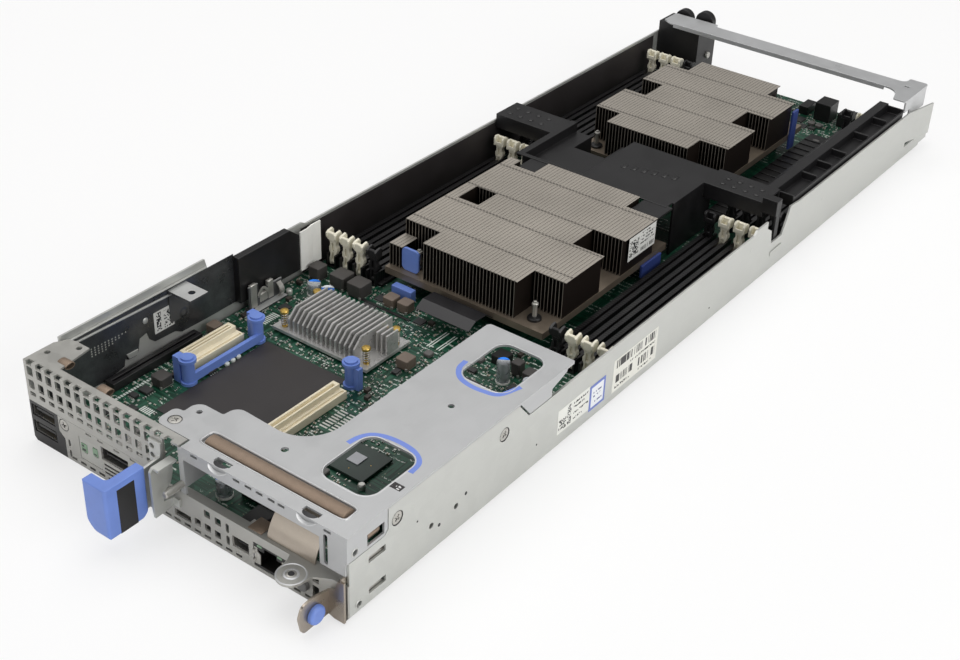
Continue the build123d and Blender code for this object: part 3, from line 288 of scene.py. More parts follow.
def board_green(name, colour):
    """Solder mask over copper: traces, vias, bare pads, and white printed marks beside parts."""
    f = Finish(name, colour, 0.32)
    x, y, _ = f.axes()
    along = f.noise(0.9, 1.0, scale=(1.0, 0.05, 1.0))
    across = f.noise(0.9, 1.0, scale=(0.05, 1.0, 1.0))
    line = f.channel(f.blend(f.channel(f.cells(13.0)) > 0.5, along, across)).ramp(0.50, 0.53)
    far = f.cells(1.9, "Distance")
    picked = f.channel(f.cells(1.9)) > 0.56
    vias = far.ramp(0.16, 0.20, 1.0, 0.0) * picked
    holes = far.ramp(0.06, 0.09, 1.0, 0.0) * picked
    patch = f.channel(f.cells(4.2), 1) > 0.72
    speck = f.chance((x * 1.9).floor(), (y * 2.4).floor(), 3.0) > 0.46
    silk = speck * (y % 3.1).near(1.5, 0.42) * patch * f.facing()[2].ramp(0.5, 0.9)
    ground = f.blend(line * 0.8, f.tone(0.7), f.tone(1.9, 0.006))
    plated = f.blend(vias, ground, linear((138, 142, 120)))
    dotted = f.blend(holes, plated, linear((8, 14, 12)))
    f.feed("Base Color", f.blend(silk * 0.85, dotted, linear((205, 212, 205))))
    f.feed("Roughness", line * 0.08 + 0.3)
    f.feed("Metallic", vias * 0.6)
    f.bump(line + vias * 0.5, 0.03, 0.5)
    return f


def woven(name, colour):
    """Metallised cloth over foam: a tight plain weave."""
    f = Finish(name, colour, 0.45, 0.5)
    x, y, z = f.axes()
    warp = abs(x % 0.5 - 0.25) * 4.0
    weft = abs((y + z) % 0.5 - 0.25) * 4.0
    weave = warp.at_least(weft)
    f.feed("Base Color", f.blend(weave.ramp(0.2, 0.9) * 0.8 + f.noise(3.0) * 0.3, f.tone(1.25), f.tone(0.55)))
    f.bump(1 - weave, 0.08, 0.7)
    return f


def ribbed(name, colour):
    """Glossy black socket plastic with fine ribs along its length, their crests painted lighter as a painted
    highlight.
    """
    f = Finish(name, colour, 0.3)
    rib = (f.axes()[1] % 1.7).near(0.85, 0.45, 0.15)
    # Painted highlight: rib crests lighter in cloudy patches.
    f.feed("Base Color", f.blend(rib * f.noise(9.0).ramp(0.3, 0.7) * 0.7, f.colour, f.tone(2.1, 0.004)))
    f.bump(rib, 0.12, 0.6)
    return f


def printed_can(name, colour):
    """An aluminium can with a blue printed crescent on its top."""
    f = Finish(name, colour, 0.26, 0.7)
    x, y, _ = f.axes()
    crescent = ((x * 0.55 - y * 0.83) % 7.0).near(2.1, 1.1, 0.1)
    clouds = f.noise(4.0)
    plain = f.blend(clouds.ramp(0.3, 0.7), f.tone(0.8), f.colour)
    f.feed("Base Color", f.blend((f.facing()[2] > 0.7) * crescent, plain, linear((30, 110, 206))))
    f.feed("Roughness", clouds * 0.2 + 0.18)
    return f


def fin_metal(name, colour, first, rows):
    """Folded aluminium fins: silver tops, each painted lighter towards its far side as a painted highlight, with a
    painted shadow line at each gap and near-black painted shade in the hollows where fins lock; faces that don't
    face up get painted shade, darkest where they face along y across the fins' edges. first is where a fin starts,
    and rows are the rows where fins lock."""
    pitch = 1.95
    f = Finish(name, colour, 0.34, 0.55)
    x, y, _ = f.axes()
    step = ((x - first) % pitch) * (1 / pitch)
    spots = [step.near(0.45, 0.24, 0.08) * (y - row).near(0.0, 0.6, 0.2) for row in rows]
    dimple_shade = (spots[0] + spots[1] + spots[2] + spots[3]).at_most(1.0)
    clouds = f.noise(34.0, 3.0)
    # Each fin top is painted lighter towards its far side: a painted highlight across the fold.
    tone = (clouds - 0.5) * 0.3 + step * 0.16 + 0.42
    plain = f.blend(tone.ramp(0.35, 0.65), f.tone(0.86), f.tone(1.13))
    # A painted shadow line at each gap between fins.
    gap_shaded = f.blend(step.near(0.93, 0.07) * 0.22, plain, f.tone(0.25))
    # Near-black painted shade in the hollows where fins lock.
    top = f.blend(dimple_shade * 0.8, gap_shaded, f.tone(0.12))
    # Painted shade on faces that don't face up, darkest on faces along y across the fins' edges.
    side = f.blend(abs(f.facing()[1]) > 0.7, linear((40, 33, 29)), f.tone(0.62))
    f.feed("Base Color", f.blend(f.facing()[2] > 0.6, side, top))
    f.feed("Roughness", clouds * 0.15 + 0.28)
    return f


def lit_and_shaded(name, colour, shade_colour, chosen, metallic=0.5):
    """Painted shade: the given colour where the test of the finish holds, standing for the lit faces, and a darker
    shade colour elsewhere, standing for faces in shadow, both softly clouded.
    """
    f = Finish(name, colour, 0.4, metallic)
    clouds = f.noise(18.0, 4.0)
    spread = clouds.ramp(0.3, 0.7)
    # The darker colour is painted shade.
    other = linear(shade_colour)
    main = f.blend(spread, f.tone(0.88), f.tone(1.1))
    shaded = f.blend(spread, tuple(c * 0.88 for c in other), tuple(c * 1.1 for c in other))
    f.feed("Base Color", f.blend(chosen(f), shaded, main))
    f.feed("Roughness", clouds * 0.15 + 0.34)
    return f


# ---------------------------------------------------------------- surfaces


def turns(count):
    """Evenly spaced angles of a full turn."""
    return np.arange(count) * (FULL / count)


def rays(angle):
    """Unit vectors at the angles, as (x, y) rows."""
    return np.stack([np.cos(angle), np.sin(angle)], -1)


def points(x, y, z):
    """Points from their coordinates, any of which may be a single number."""
    return np.stack(np.broadcast_arrays(x, y, z), -1)


def bar(wide, tall):
    """The corners of a rectangular section, from half of its sides."""
    return [(-wide, -tall), (wide, -tall), (wide, tall), (-wide, tall)]


def unit(rows):
    """The rows with their lengths set to one."""
    return rows / np.linalg.norm(rows, axis=1, keepdims=True)


def corners_of(mesh):
    """The vertices of a mesh as rows."""
    corners = np.zeros(len(mesh.vertices) * 3, np.float32)
    mesh.vertices.foreach_get("co", corners)
    return corners.reshape(-1, 3)


class Surface:
    """Vertices, faces and a material number for each face, gathered from several parametric surfaces."""

    def __init__(self):
        self.vertices = []
        self.faces = []
        self.kinds = []
        self.count = 0

    def add(self, rings, kind=0, caps=True, closed=True):
        """rings[i, j] are points: i runs along the form and j round it. Quads join neighbours,
        the last j joins the first if closed, and caps fill the end rings of a closed form."""
        rings = np.asarray(rings, float)
        if rings.ndim == 3:
            rings = rings[None]
        forms, along, around, _ = rings.shape
        row = np.arange(along - 1)[:, None] * around
        here = np.arange(around if closed else around - 1)[None, :]
        after = (here + 1) % around
        corners = np.broadcast_arrays(row + here, row + after, row + around + after, row + around + here)
        quads = np.stack(corners, -1).reshape(-1, 4)
        loop = np.arange(around)
        for number in range(forms):
            start = self.count + number * along * around
            self.faces.extend((quads + start).tolist())
            self.kinds.extend(np.broadcast_to(kind, len(quads)).tolist())
            if closed and caps:
                self.faces += [(loop[::-1] + start).tolist(), (loop + start + (along - 1) * around).tolist()]
                self.kinds += [int(np.ravel(kind)[0]), int(np.ravel(kind)[-1])]
        self.vertices.append(rings.reshape(-1, 3))
        self.count += forms * along * around
        return self

    def blocks(self, low, high, edge=0.2, kind=0, corner=None):
        """Boxes from low to high corners with softened edges: each is four rings of eight points,
        the end rings drawn in by the edge width."""
        low, high = np.atleast_2d(np.asarray(low, float)), np.atleast_2d(np.asarray(high, float))
        centre = (low + high) / 2
        half = np.abs(high - low) / 2
        edge = np.minimum(edge, half.min(1) * 0.9)[:, None]
        corner = edge if corner is None else np.minimum(corner, half[:, :2].min(1) * 0.95)[:, None]
        cut = np.array([[0, 0, 1, 1, 0, 0, 1, 1], [1, 1, 0, 0, 1, 1, 0, 0]])
        sign = np.array([[1, 1, 1, -1, -1, -1, -1, 1], [-1, 1, 1, 1, 1, -1, -1, -1]])
        end_ring = np.array([1, 0, 0, 1])
        draw = end_ring[None, :, None] * edge[:, :, None]
        rings = np.zeros((len(low), 4, 8, 3))
        for axis in (0, 1):
            reach = half[:, axis, None, None] - draw - cut[axis] * corner[:, :, None]
            rings[..., axis] = centre[:, axis, None, None] + sign[axis] * reach
        rise = np.array([-1, -1, 1, 1]) * (half[:, 2, None] - (1 - end_ring) * edge)
        rings[..., 2] = centre[:, 2, None, None] + rise[:, :, None]
        return self.add(rings, kind)

    def row(self, start, step, count, size, edge, kind=0):
        """A straight row of equal boxes: the low corner of the first, the step to the next, and their size."""
        low = np.array(start) + np.arange(count)[:, None] * np.array(step)
        return self.blocks(low, low + size, edge, kind)

    def turned(self, centres, profile, axis=2, sides=20, kind=0, ring=False):
        """Surfaces of revolution: the profile's (radius, height) points carried round each centre.
        A ring joins its last profile point to the first, and has no end faces."""
        centres = np.atleast_2d(np.asarray(centres, float))
        profile = np.asarray(list(profile) + ([profile[0]] if ring else []), float)
        radius = np.maximum(profile[:, 0], 1e-4)[:, None, None]
        height = np.broadcast_to(profile[:, 1, None, None], (len(profile), sides, 1))
        flat = np.concatenate([radius * rays(turns(sides)), height], -1)
        rings = centres[:, None, None, :] + flat[None][..., TURN_ORDER[axis]]
        return self.add(rings, kind, caps=not ring)

    def screws(self, centres, radius, height, axis=2, turn=0.4, way=1):
        """Cross-recess screw heads: a polar grid whose height is a low dome, less the cross, on a short rim.
        way is the side of the axis that they face."""
        angle = turns(48)
        reach = np.concatenate([[1.0, 1.0], np.linspace(0.97, 0.02, 16)])
        r = (reach * radius)[:, None] * np.ones(len(angle))
        arm = np.minimum(np.abs(r * np.cos(angle + turn)), np.abs(r * np.sin(angle + turn)))
        within = np.clip((radius * 0.56 - r) / (radius * 0.06), 0, 1)
        cross = np.clip((radius * 0.15 - arm) / (radius * 0.05), 0, 1) * within
        lift = height * (1 - 0.35 * (r / radius) ** 2) - cross * min(height + 0.35, radius * 0.5)
        lift[0] = -0.3
        flat = np.stack([r * np.cos(angle), r * np.sin(angle), way * lift], -1)
        deep = ((cross[:-1] + cross[1:]) / 2 > 0.4).astype(int).ravel()
        return self.add(np.array(centres)[:, None, None, :] + flat[None][..., TURN_ORDER[axis]], deep)

    def swept(self, path, section, up=(0.0, 0.0, 1.0), kind=0, grow=1.0):
        """The section's (side, up) points carried along the path, square to it, and scaled by grow."""
        section = np.asarray(section, float)[None]
        ahead = unit(np.gradient(path, axis=0))
        side = unit(np.cross(ahead, up))
        top = np.cross(side, ahead)
        size = np.broadcast_to(grow, len(path))[:, None, None]
        flat = section[..., 0:1] * side[:, None, :] + section[..., 1:2] * top[:, None, :]
        return self.add(path[:, None, :] + size * flat, kind)

    def outline(self, corners, low, high, edge=0.15, kind=0, plane=2):
        """A plate with the outline's shape between two levels, whose rims are drawn in by the edge width."""
        corners = np.asarray(corners, float)
        before = unit(corners - np.roll(corners, 1, 0))
        after = unit(np.roll(corners, -1, 0) - corners)
        both = before + after
        bisect = np.stack([-both[:, 1], both[:, 0]], -1)
        bisect /= np.maximum(np.linalg.norm(bisect, axis=1, keepdims=True), 1e-9)
        opening = (bisect * np.stack([-after[:, 1], after[:, 0]], -1)).sum(1, keepdims=True)
        x, y = corners.T
        area = (x * np.roll(y, -1) - np.roll(x, -1) * y).sum()
        inner = corners + bisect * edge * np.sign(area) / np.maximum(opening, 0.35)
        if area < 0:
            corners, inner = corners[::-1], inner[::-1]
        levels = [(inner, low), (corners, low + edge), (corners, high - edge), (inner, high)]
        rings = np.stack([points(*loop.T, level) for loop, level in levels])[..., PLANE_ORDER[plane]]
        return self.add(rings[:, ::-1] if plane == 1 else rings, kind)

    def lip(self, loop, away, section, level):
        """A rim along a closed loop: each (out, up) point of the section moves the loop away from itself and up."""
        return self.add(np.stack([points(*(loop + away * out).T, level + up) for out, up in section]), caps=False)

    def mesh(self, name):
        """The gathered surface as a new mesh."""
        mesh = bpy.data.meshes.new(name)
        mesh.from_pydata((np.concatenate(self.vertices) * MM).tolist(), [], self.faces)
        return mesh


def shown(name, data):
    """A new object of the scene that holds the data."""
    item = bpy.data.objects.new(name, data)
    bpy.context.scene.collection.objects.link(item)
    return item


def make(name, surface, finish_names, body="sled", smooth=30.0, replaces=()):
    """The gathered surface, with its finishes, as one object that rides on a body."""
    mesh = surface.mesh(name)
    for key in finish_names.split():
        mesh.materials.append(finishes()[key].material)
    mesh.polygons.foreach_set("material_index", surface.kinds)
    mesh.validate()
    mesh.update()
    soften(mesh, smooth)
    piece = shown(name, mesh)
    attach(piece, body)
    if replaces:
        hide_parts(*replaces)


def label(name, low, high, ground, ink, rows, seed, edge=0.03, flat=False, rim=None, corner=None):
    """A thin plate printed with plain bars, dots and squares, and no words. Its rows are read along y and z,
    or along x and y where it lies flat. A rim is the colour inside it and the width of the frame round that."""
    f = Finish(name, ground, 0.42)
    across, up = (0, 1) if flat else (1, 2)
    u, v = f.axes()[across], f.axes()[up]
    clouds = f.noise(6.0, 3.0)
    base = f.blend(clouds.ramp(0.3, 0.7), f.tone(0.93), f.colour)
    if rim is not None:
        inner, width = rim
        inside = u.between(low[across] + width, high[across] - width) * v.between(low[up] + width, high[up] - width)
        base = f.blend(inside, base, linear(inner))
    f.feed("Base Color", f.blend(printed(f, u, v, rows, seed), base, linear(ink)))
    f.feed("Roughness", clouds * 0.15 + 0.36)
    finishes()[name] = f
    make(name, Surface().blocks(low, high, edge, corner=corner), name)


def soften(mesh, angle):
    """Smooth shading, with edges sharper than the angle kept crisp."""
    mesh.shade_smooth()
    bm = bmesh.new()
    bm.from_mesh(mesh)
    bmesh.ops.recalc_face_normals(bm, faces=bm.faces)
    limit = math.radians(angle)
    for edge in bm.edges:
        edge.smooth = len(edge.link_faces) != 2 or edge.calc_face_angle(0.0) < limit
    bm.to_mesh(mesh)
    bm.free()


def dressed(node, finish, edge):
    """A merged copy of a CAD node with its edges rounded, standing for the node."""
    source = NODES[node].data
    mesh = bpy.data.meshes.new(node + "_dressed")
    mesh.from_pydata(corners_of(source).tolist(), [], [list(p.vertices) for p in source.polygons])
    bm = bmesh.new()
    bm.from_mesh(mesh)
    bmesh.ops.remove_doubles(bm, verts=bm.verts, dist=3e-6)
    flat = {"angle_limit": math.radians(0.8), "use_dissolve_boundaries": False, "delimit": {"NORMAL"}}
    bmesh.ops.dissolve_limit(bm, verts=bm.verts, edges=bm.edges, **flat)
    bm.to_mesh(mesh)
    bm.free()
    mesh.shade_smooth()
    mesh.materials.append(finish.material)
    piece = shown(node + "_dressed", mesh)
    rim = piece.modifiers.new("Rounded edges", "BEVEL")
    rim.width = edge * MM
    rim.segments = 2
    rim.limit_method = "ANGLE"
    rim.angle_limit = math.radians(28)
    rim.harden_normals = True
    rim.use_clamp_overlap = True
    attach(piece, BODY_OF[node])
    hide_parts(node)


def solids(*names):
    """Low and high corners, in millimetres, of every separate lump of the named CAD nodes."""
    found = []
    for name in names:
        mesh = NODES[name].data
        corners = corners_of(mesh) / MM
        _, same = np.unique(np.round(corners * 200).astype(np.int64), axis=0, return_inverse=True)
        same = same.ravel()
        ends = np.zeros(len(mesh.edges) * 2, np.int64)
        mesh.edges.foreach_get("vertices", ends)
        ends = same[ends.reshape(-1, 2)]
        group = np.arange(same.max() + 1)
        while True:
            low = np.minimum(group[ends[:, 0]], group[ends[:, 1]])
            after = group.copy()
            np.minimum.at(after, ends[:, 0], low)
            np.minimum.at(after, ends[:, 1], low)
            after = after[after]
            if (after == group).all():
                break
            group = after
        lump = group[same]
        for number in np.unique(lump):
            part = corners[lump == number]
            found.append((part.min(0), part.max(0)))
    return np.array(found)


def feet(node):
    """The middle of the foot of every lump of a CAD node, in millimetres."""
    return [(*(low[:2] + high[:2]) / 2, low[2]) for low, high in solids(node)]


def box_mm(node):
    """Low and high corners of a CAD node, in millimetres."""
    low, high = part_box(node)
    return np.array(low) / MM, np.array(high) / MM


def spline(values, walk):
    """A Catmull-Rom curve through evenly numbered values, read at the walk's positions."""
    values = np.asarray(values, float)
    padded = np.concatenate([[2 * values[0] - values[1]], values, [2 * values[-1] - values[-2]]])
    start = np.clip(np.floor(walk).astype(int), 0, len(values) - 2)
    t = walk - start
    a, b, c, d = (padded[start + k] for k in range(4))
    return 0.5 * (2 * b + (c - a) * t + (2 * a - 5 * b + 4 * c - d) * t**2 + (3 * b - a - 3 * c + d) * t**3)


# ---------------------------------------------------------------- sizes and colours


def colour_property(name, description, default):
    """A colour, written as 0-255 numbers, that a user may change."""
    return FloatVectorProperty(name=name, description=description, default=default, size=3)


class SledFinish(bpy.types.PropertyGroup):
    """Colours that a user may change."""

    steel: colour_property("Steel", "Galvanised walls and floor", (196, 197, 193))
    plate: colour_property("Cover plate", "Card bay cover and crossbar", (184, 185, 186))
    touch: colour_property("Touch points", "Blue handle, posts and button", (106, 134, 206))
    black: colour_property("Black plastic", "Shroud, baffles and sockets", (22, 21, 22))
    board: colour_property("Board", "Solder mask", (14, 62, 44))
    sink: colour_property("Heat sinks", "Folded fins", (178, 171, 161))


class SledSizes(bpy.types.PropertyGroup):
    """Sizes that a user may change."""

    edge: FloatProperty(
        name="Metal edge",
        description="Rounding of sheet metal edges, in millimetres",
        default=0.18,
        min=0.05,
        max=0.6,
    )
    plastic_edge: FloatProperty(
        name="Plastic edge",
        description="Rounding of plastic edges, in millimetres",
        default=0.35,
        min=0.1,
        max=1.0,
    )
    seed: IntProperty(name="Seed", description="Start of the scatter of small board parts", default=7, min=0)


FINISH = {}


def finishes():
    """Makes every finish once, from the scene's colours: each row is its recipe, colour and further values."""
    if FINISH:
        return FINISH
    tone = bpy.context.scene.sled_finish
    table = {
        "zinc_steel": (sheet_metal, tone.steel),
        "cover_steel": (sheet_metal, tone.plate, 0.03, 0.25, 0.4, 0.42),
        "black_plastic": (moulded, tone.black, 0.36),
        "socket_metal": (bright_metal, (176, 174, 170), 0.28),
        "beige_plastic": (moulded, (232, 222, 196), 0.5, 0.25, 0.06),
        "grey_plastic": (moulded, (112, 112, 112), 0.5),
        "gasket_weave": (woven, (158, 138, 120)),
        "spring_bronze": (bright_metal, (176, 156, 128), 0.35),
        "blank_nickel": (bright_metal, (172, 162, 150), 0.3, 0.9, 0.06),
        "board_green": (board_green, tone.board),
        "blue_plastic": (moulded, tone.touch, 0.4, 0.2, 0.08),
        "bright_steel": (bright_metal, (188, 186, 180), 0.36, 0.7),
        "black_film": (moulded, (40, 36, 36), 0.5, 0.1, 0.08),
        "sink_aluminium": (bright_metal, (206, 205, 203), 0.3, 0.6),
        "fins_one": (fin_metal, tone.sink, -45.7, (200.5, 225.0, 244.0, 271.0)),
        "fins_two": (fin_metal, tone.sink, -46.85, (366.0, 391.0, 416.0, 438.0)),
        "sink_bronze": (bright_metal, (136, 124, 110), 0.36, 0.6),
        "cover_bright": (sheet_metal, (198, 199, 200), 0.02, 0.1, 0.5, 0.34),
        "front_steel": (sheet_metal, (178, 177, 172), 0.04, 0.3, 0.6),
        # Painted shade: brackets keep bright steel on faces that face up and are painted dark grey on upright faces,
        # as flanks in shadow.
        "bracket_steel": (lit_and_shaded, (190, 191, 190), (92, 93, 94), lambda f: f.facing()[2] > 0.6),
        # Painted shade: clips are painted dark blue where x is -10 or more, where they lie in shadow, and keep the
        # light blue elsewhere.
        "clip_blue": (lit_and_shaded, tone.touch, (58, 76, 142), lambda f: f.axes()[0] < -10.0, 0.0),
        "shroud_black": (moulded, (13, 12, 14), 0.42, 0.5),
        "latch_black": (moulded, (26, 25, 26), 0.4),
        # Dark grey, partly painted shade over the inside of the left wall.
        "liner_metal": (bright_metal, (96, 98, 100), 0.3, 0.8, 0.25),
        "shadow_metal": (moulded, (44, 44, 46), 0.6),
        "printed_blue": (moulded, (112, 136, 212), 0.5, 0.1, 0.05),
        "silver_die": (bright_metal, (176, 178, 182), 0.3, 0.6, 0.06),
        "chip_laminate": (moulded, (44, 58, 52), 0.36, 0.1, 0.1),
        "can_printed": (printed_can, (196, 200, 204)),
        "solder": (bright_metal, (206, 206, 200), 0.34, 0.6),
        "coil_grey": (moulded, (96, 94, 92), 0.5, 0.3),
        "ceramic": (moulded, (142, 128, 108), 0.5, 0.2),
        "latch_white": (moulded, (230, 225, 206), 0.42, 0.1, 0.05),
        "lamp_grey": (moulded, (176, 176, 170), 0.4, 0.1, 0.08),
        "tab_black": (moulded, (20, 19, 22), 0.4, 0.1, 0.1),
        "tantalum": (moulded, (52, 46, 40), 0.5, 0.2),
        # Near-black for black parts, and painted shade for the strips beside the coolers.
        "film_black": (moulded, (12, 11, 12), 0.46, 0.1, 0.1),
        "silk_white": (moulded, (206, 212, 206), 0.6, 0.1, 0.05),
        "lamp_green": (moulded, (128, 158, 130), 0.16, 0.1),
        "socket_black": (ribbed, (15, 14, 15)),
        "brass_pin": (bright_metal, (204, 172, 92), 0.3),
        "can_aluminium": (bright_metal, (214, 212, 206), 0.3),
        "coil_black": (moulded, (62, 59, 57), 0.46, 0.5),
        "coil_tan": (moulded, (112, 99, 88), 0.5, 0.5),
        "chip_black": (moulded, (46, 46, 46), 0.45, 0.3),
        "plated_copper": (bright_metal, (190, 160, 130), 0.3),
        "white_plastic": (moulded, (232, 231, 226), 0.5, 0.2, 0.05),
    }
    FINISH.update({name: recipe(name, tuple(colour), *more) for name, (recipe, colour, *more) in table.items()})
    return FINISH


# ---------------------------------------------------------------- operators


def wired(tree, kinds, settings, values, links):
    """Fills an emptied node tree from kinds, settings, socket values and links, all under short names."""
    tree.nodes.clear()
    made = {key: tree.nodes.new("ShaderNode" + kind) for key, kind in kinds.items()}
    for key, operation in settings.items():
        made[key].operation = operation
    for key, socket, value in values:
        made[key].inputs[socket].default_value = value
    for key, out, other, socket in links:
        tree.links.new(made[key].outputs[out], made[other].inputs[socket])


class SLED_OT_stage(bpy.types.Operator):
    """Floor, white surroundings, soft lamps and the camera at the photograph's viewing angle"""

    bl_idname = "sled.stage"
    bl_label = "Stage"

    def execute(self, context):
        scene = context.scene
        scene.view_settings.view_transform = "Standard"
        camera = bpy.data.cameras.new("camera")
        camera.lens = 56.3907
        camera.sensor_width = 36.0
        camera.clip_start, camera.clip_end = 0.01, 20.0
        eye = shown("camera", camera)
        right = (0.7982973, 0.6012931, 0.0341778, 0.0)
        top = (-0.3524859, 0.4204511, 0.8360470, 0.0)
        back = (0.4883392, -0.6794612, 0.5475923, 0.0)
        place = (0.3554375, -0.2985135, 0.3912442, 1.0)
        eye.matrix_world = Matrix((right, top, back, place)).transposed()
        scene.camera = eye
        middle = Vector((0.0, 0.25, 0.0))
        for name, spot, size, power, tint in (
            ("overhead", (-0.3, 0.4, 1.7), (2.0, 2.0), 24.0, (1.0, 0.99, 0.98)),
            ("side", (1.8, 0.1, 0.7), (1.8, 1.6), 24.0, (1.0, 1.0, 0.99)),
            ("front", (-0.3, -1.8, 0.7), (1.8, 1.2), 9.0, (1.0, 1.0, 1.0)),
        ):
            lamp = bpy.data.lights.new(name, "AREA")
            lamp.shape = "RECTANGLE"
            lamp.size, lamp.size_y = size
            lamp.energy = power
            lamp.color = tint
            aim = (Vector(spot) - middle).to_track_quat("Z", "Y").to_matrix().to_4x4()
            shown(name, lamp).matrix_world = Matrix.Translation(spot) @ aim
        self.world(scene)
        self.floor()
        return {"FINISHED"}

    def world(self, scene):
        """White where the camera sees it, directly or through something clear, and dimmer as a light."""
        scene.world = bpy.data.worlds.new("surroundings")
        scene.world.use_nodes = True
        wired(
            scene.world.node_tree,
            {"sky": "Background", "path": "LightPath", "seen": "Math", "level": "MapRange", "out": "OutputWorld"},
            {"seen": "MAXIMUM"},
            [("level", "To Min", 0.34), ("level", "To Max", 1.0)],
            [
                ("path", "Is Camera Ray", "seen", 0),
                ("path", "Is Transmission Ray", "seen", 1),
                ("seen", 0, "level", "Value"),
                ("level", 0, "sky", "Strength"),
                ("sky", 0, "out", "Surface"),
            ],
        )

    def floor(self):
        """A wide pale sheet just below the object, lightened where the camera sees it."""
        cuts, half, level = 17, 9000.0, -0.3
        reach = np.linspace(-1, 1, cuts) * half
        sheet = points(*np.meshgrid(reach, reach, indexing="ij"), level)
        mesh = Surface().add(sheet[:, ::-1], closed=False).mesh("floor")
        floor = shown("floor", mesh)
        paper = bpy.data.materials.new("pale_paper")
        paper.use_nodes = True
        wired(
            paper.node_tree,
            {"matt": "BsdfDiffuse", "glow": "Emission", "path": "LightPath", "mix": "MixShader", "share": "Math",
             "out": "OutputMaterial"},
            {"share": "MULTIPLY"},
            [("matt", 0, (0.9, 0.9, 0.9, 1.0)), ("glow", 1, 1.0), ("share", 1, 0.62)],
            [
                ("path", "Is Camera Ray", "share", 0),
                ("share", 0, "mix", 0),
                ("matt", 0, "mix", 1),
                ("glow", 0, "mix", 2),
                ("mix", 0, "out", "Surface"),
            ],
        )
        mesh.materials.append(paper)


class SLED_OT_frame(bpy.types.Operator):
    """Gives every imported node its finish, with rounded edges where the eye meets them"""

    bl_idname = "sled.frame"
    bl_label = "Frame finishes"

    def execute(self, context):
        sizes = context.scene.sled_sizes
        metal = (
            "tray vent_panel lower_left_faceplate io_panel bay_cover crossbar handle_arm handle_bracket "
            "release_latch slot_blank wall_brackets network_jack"
        ).split()
        plastic = (
            "port_bezel handle_grip release_button power_button mezzanine_connectors card_guides "
            "board_connectors air_shroud side_baffle end_block cable_cover sink_clips pull_tab"
        ).split()
        own = {
            "sink_one_fins": "fins_one",
            "sink_two_fins": "fins_two",
            "sink_bases": "sink_bronze",
            "memory_sockets": "socket_black",
            "lamp_block": "lamp_grey",
            "pull_tab": "tab_black",
            "vent_panel": "front_steel",
            "lower_left_faceplate": "front_steel",
            "io_panel": "front_steel",
            "wall_brackets": "bracket_steel",
            "sink_clips": "clip_blue",
            "air_shroud": "shroud_black",
            "crossbar": "cover_bright",
            "side_baffle": "shroud_black",
            "end_block": "shroud_black",
        }
        for node, item in NODES.items():
            finish = finishes()[own.get(node, SLOT_OF[node])]
            if node in metal:
                dressed(node, finish, sizes.edge)
            elif node in plastic:
                dressed(node, finish, sizes.plastic_edge)
            item.data.materials.clear()
            item.data.materials.append(finish.material)
            for face in item.data.polygons:
                face.material_index = 0
        return {"FINISHED"}


class SLED_OT_latches(bpy.types.Operator):
    """Memory latches: waisted arms with slotted fronts and hooked heads"""

    bl_idname = "sled.latches"
    bl_label = "Memory latches"

    def execute(self, context):
        inset = 3.0
        for side in ("left", "right"):
            for row in ("one", "two", "three", "four"):
                node = f"latches_{side}_{row}"
                lumps = solids(node)
                lean = -1.0 if row in ("one", "three") else 1.0
                surface = Surface()
                inner = np.argmin(np.abs(lumps[:, 0, 0] + lumps[:, 1, 0]))
                for number, (low, high) in enumerate(lumps):
                    pivot = low[1] + inset if lean < 0 else high[1] - inset
                    # Row three is painted black as painted shade, since it lies in shadow; the innermost latch of
                    # each row is black plastic.
                    kind = 1 if row == "three" or number == inner else 0
                    self.latch(surface, (low[0] + high[0]) / 2, pivot, lean, kind)
                make(node + "_shaped", surface, "latch_white latch_black", node, replaces=(node,))
        return {"FINISHED"}

    def latch(self, surface, x, pivot, lean, kind):
        """Two waisted rails joined by a thin web and cross ribs, two head cheeks, a hook and a foot."""
        rail = [
            (1.0, 7.6), (2.2, 7.6), (2.4, 11.0), (1.8, 12.2), (1.8, 14.0), (2.5, 15.2), (2.5, 17.0),
            (1.8, 18.2), (1.8, 20.0), (3.0, 22.0), (1.2, 22.0), (0.8, 19.5), (0.8, 12.0),
        ]
        cheek = [(-2.3, 21.4), (-2.3, 25.4), (-1.3, 26.9), (1.4, 26.5), (2.9, 25.4), (2.9, 23.4), (1.5, 21.2)]
        for side in (-1.0, 1.0):
            surface.outline([(x + side * a, z) for a, z in rail], pivot - 1.45, pivot + 1.45, 0.2, kind, plane=1)
            near, far = sorted((x + side * 1.9, x + side * 3.2))
            surface.outline([(pivot + lean * y, z) for y, z in cheek], near, far, 0.25, kind, plane=0)
        for half, first, last, low, high, edge in (
            (1.2, -0.4, 0.4, 8.0, 21.8, 0.1),
            (1.6, -1.3, 1.3, 14.2, 15.4, 0.15),
            (1.9, -1.35, 1.35, 19.6, 21.9, 0.15),
            (2.2, 0.7, 2.4, 21.6, 25.9, 0.3),
            (2.2, -2.2, -1.5, 21.5, 23.6, 0.2),
        ):
            back, front = sorted((pivot + lean * first, pivot + lean * last))
            surface.blocks((x - half, back, low), (x + half, front, high), edge, kind)
        axle = [(0.3, -2.0), (1.6, -1.8), (1.6, 1.8), (0.3, 2.0)]
        surface.turned((x, pivot, 9.0), axle, axis=0, sides=16, kind=kind)


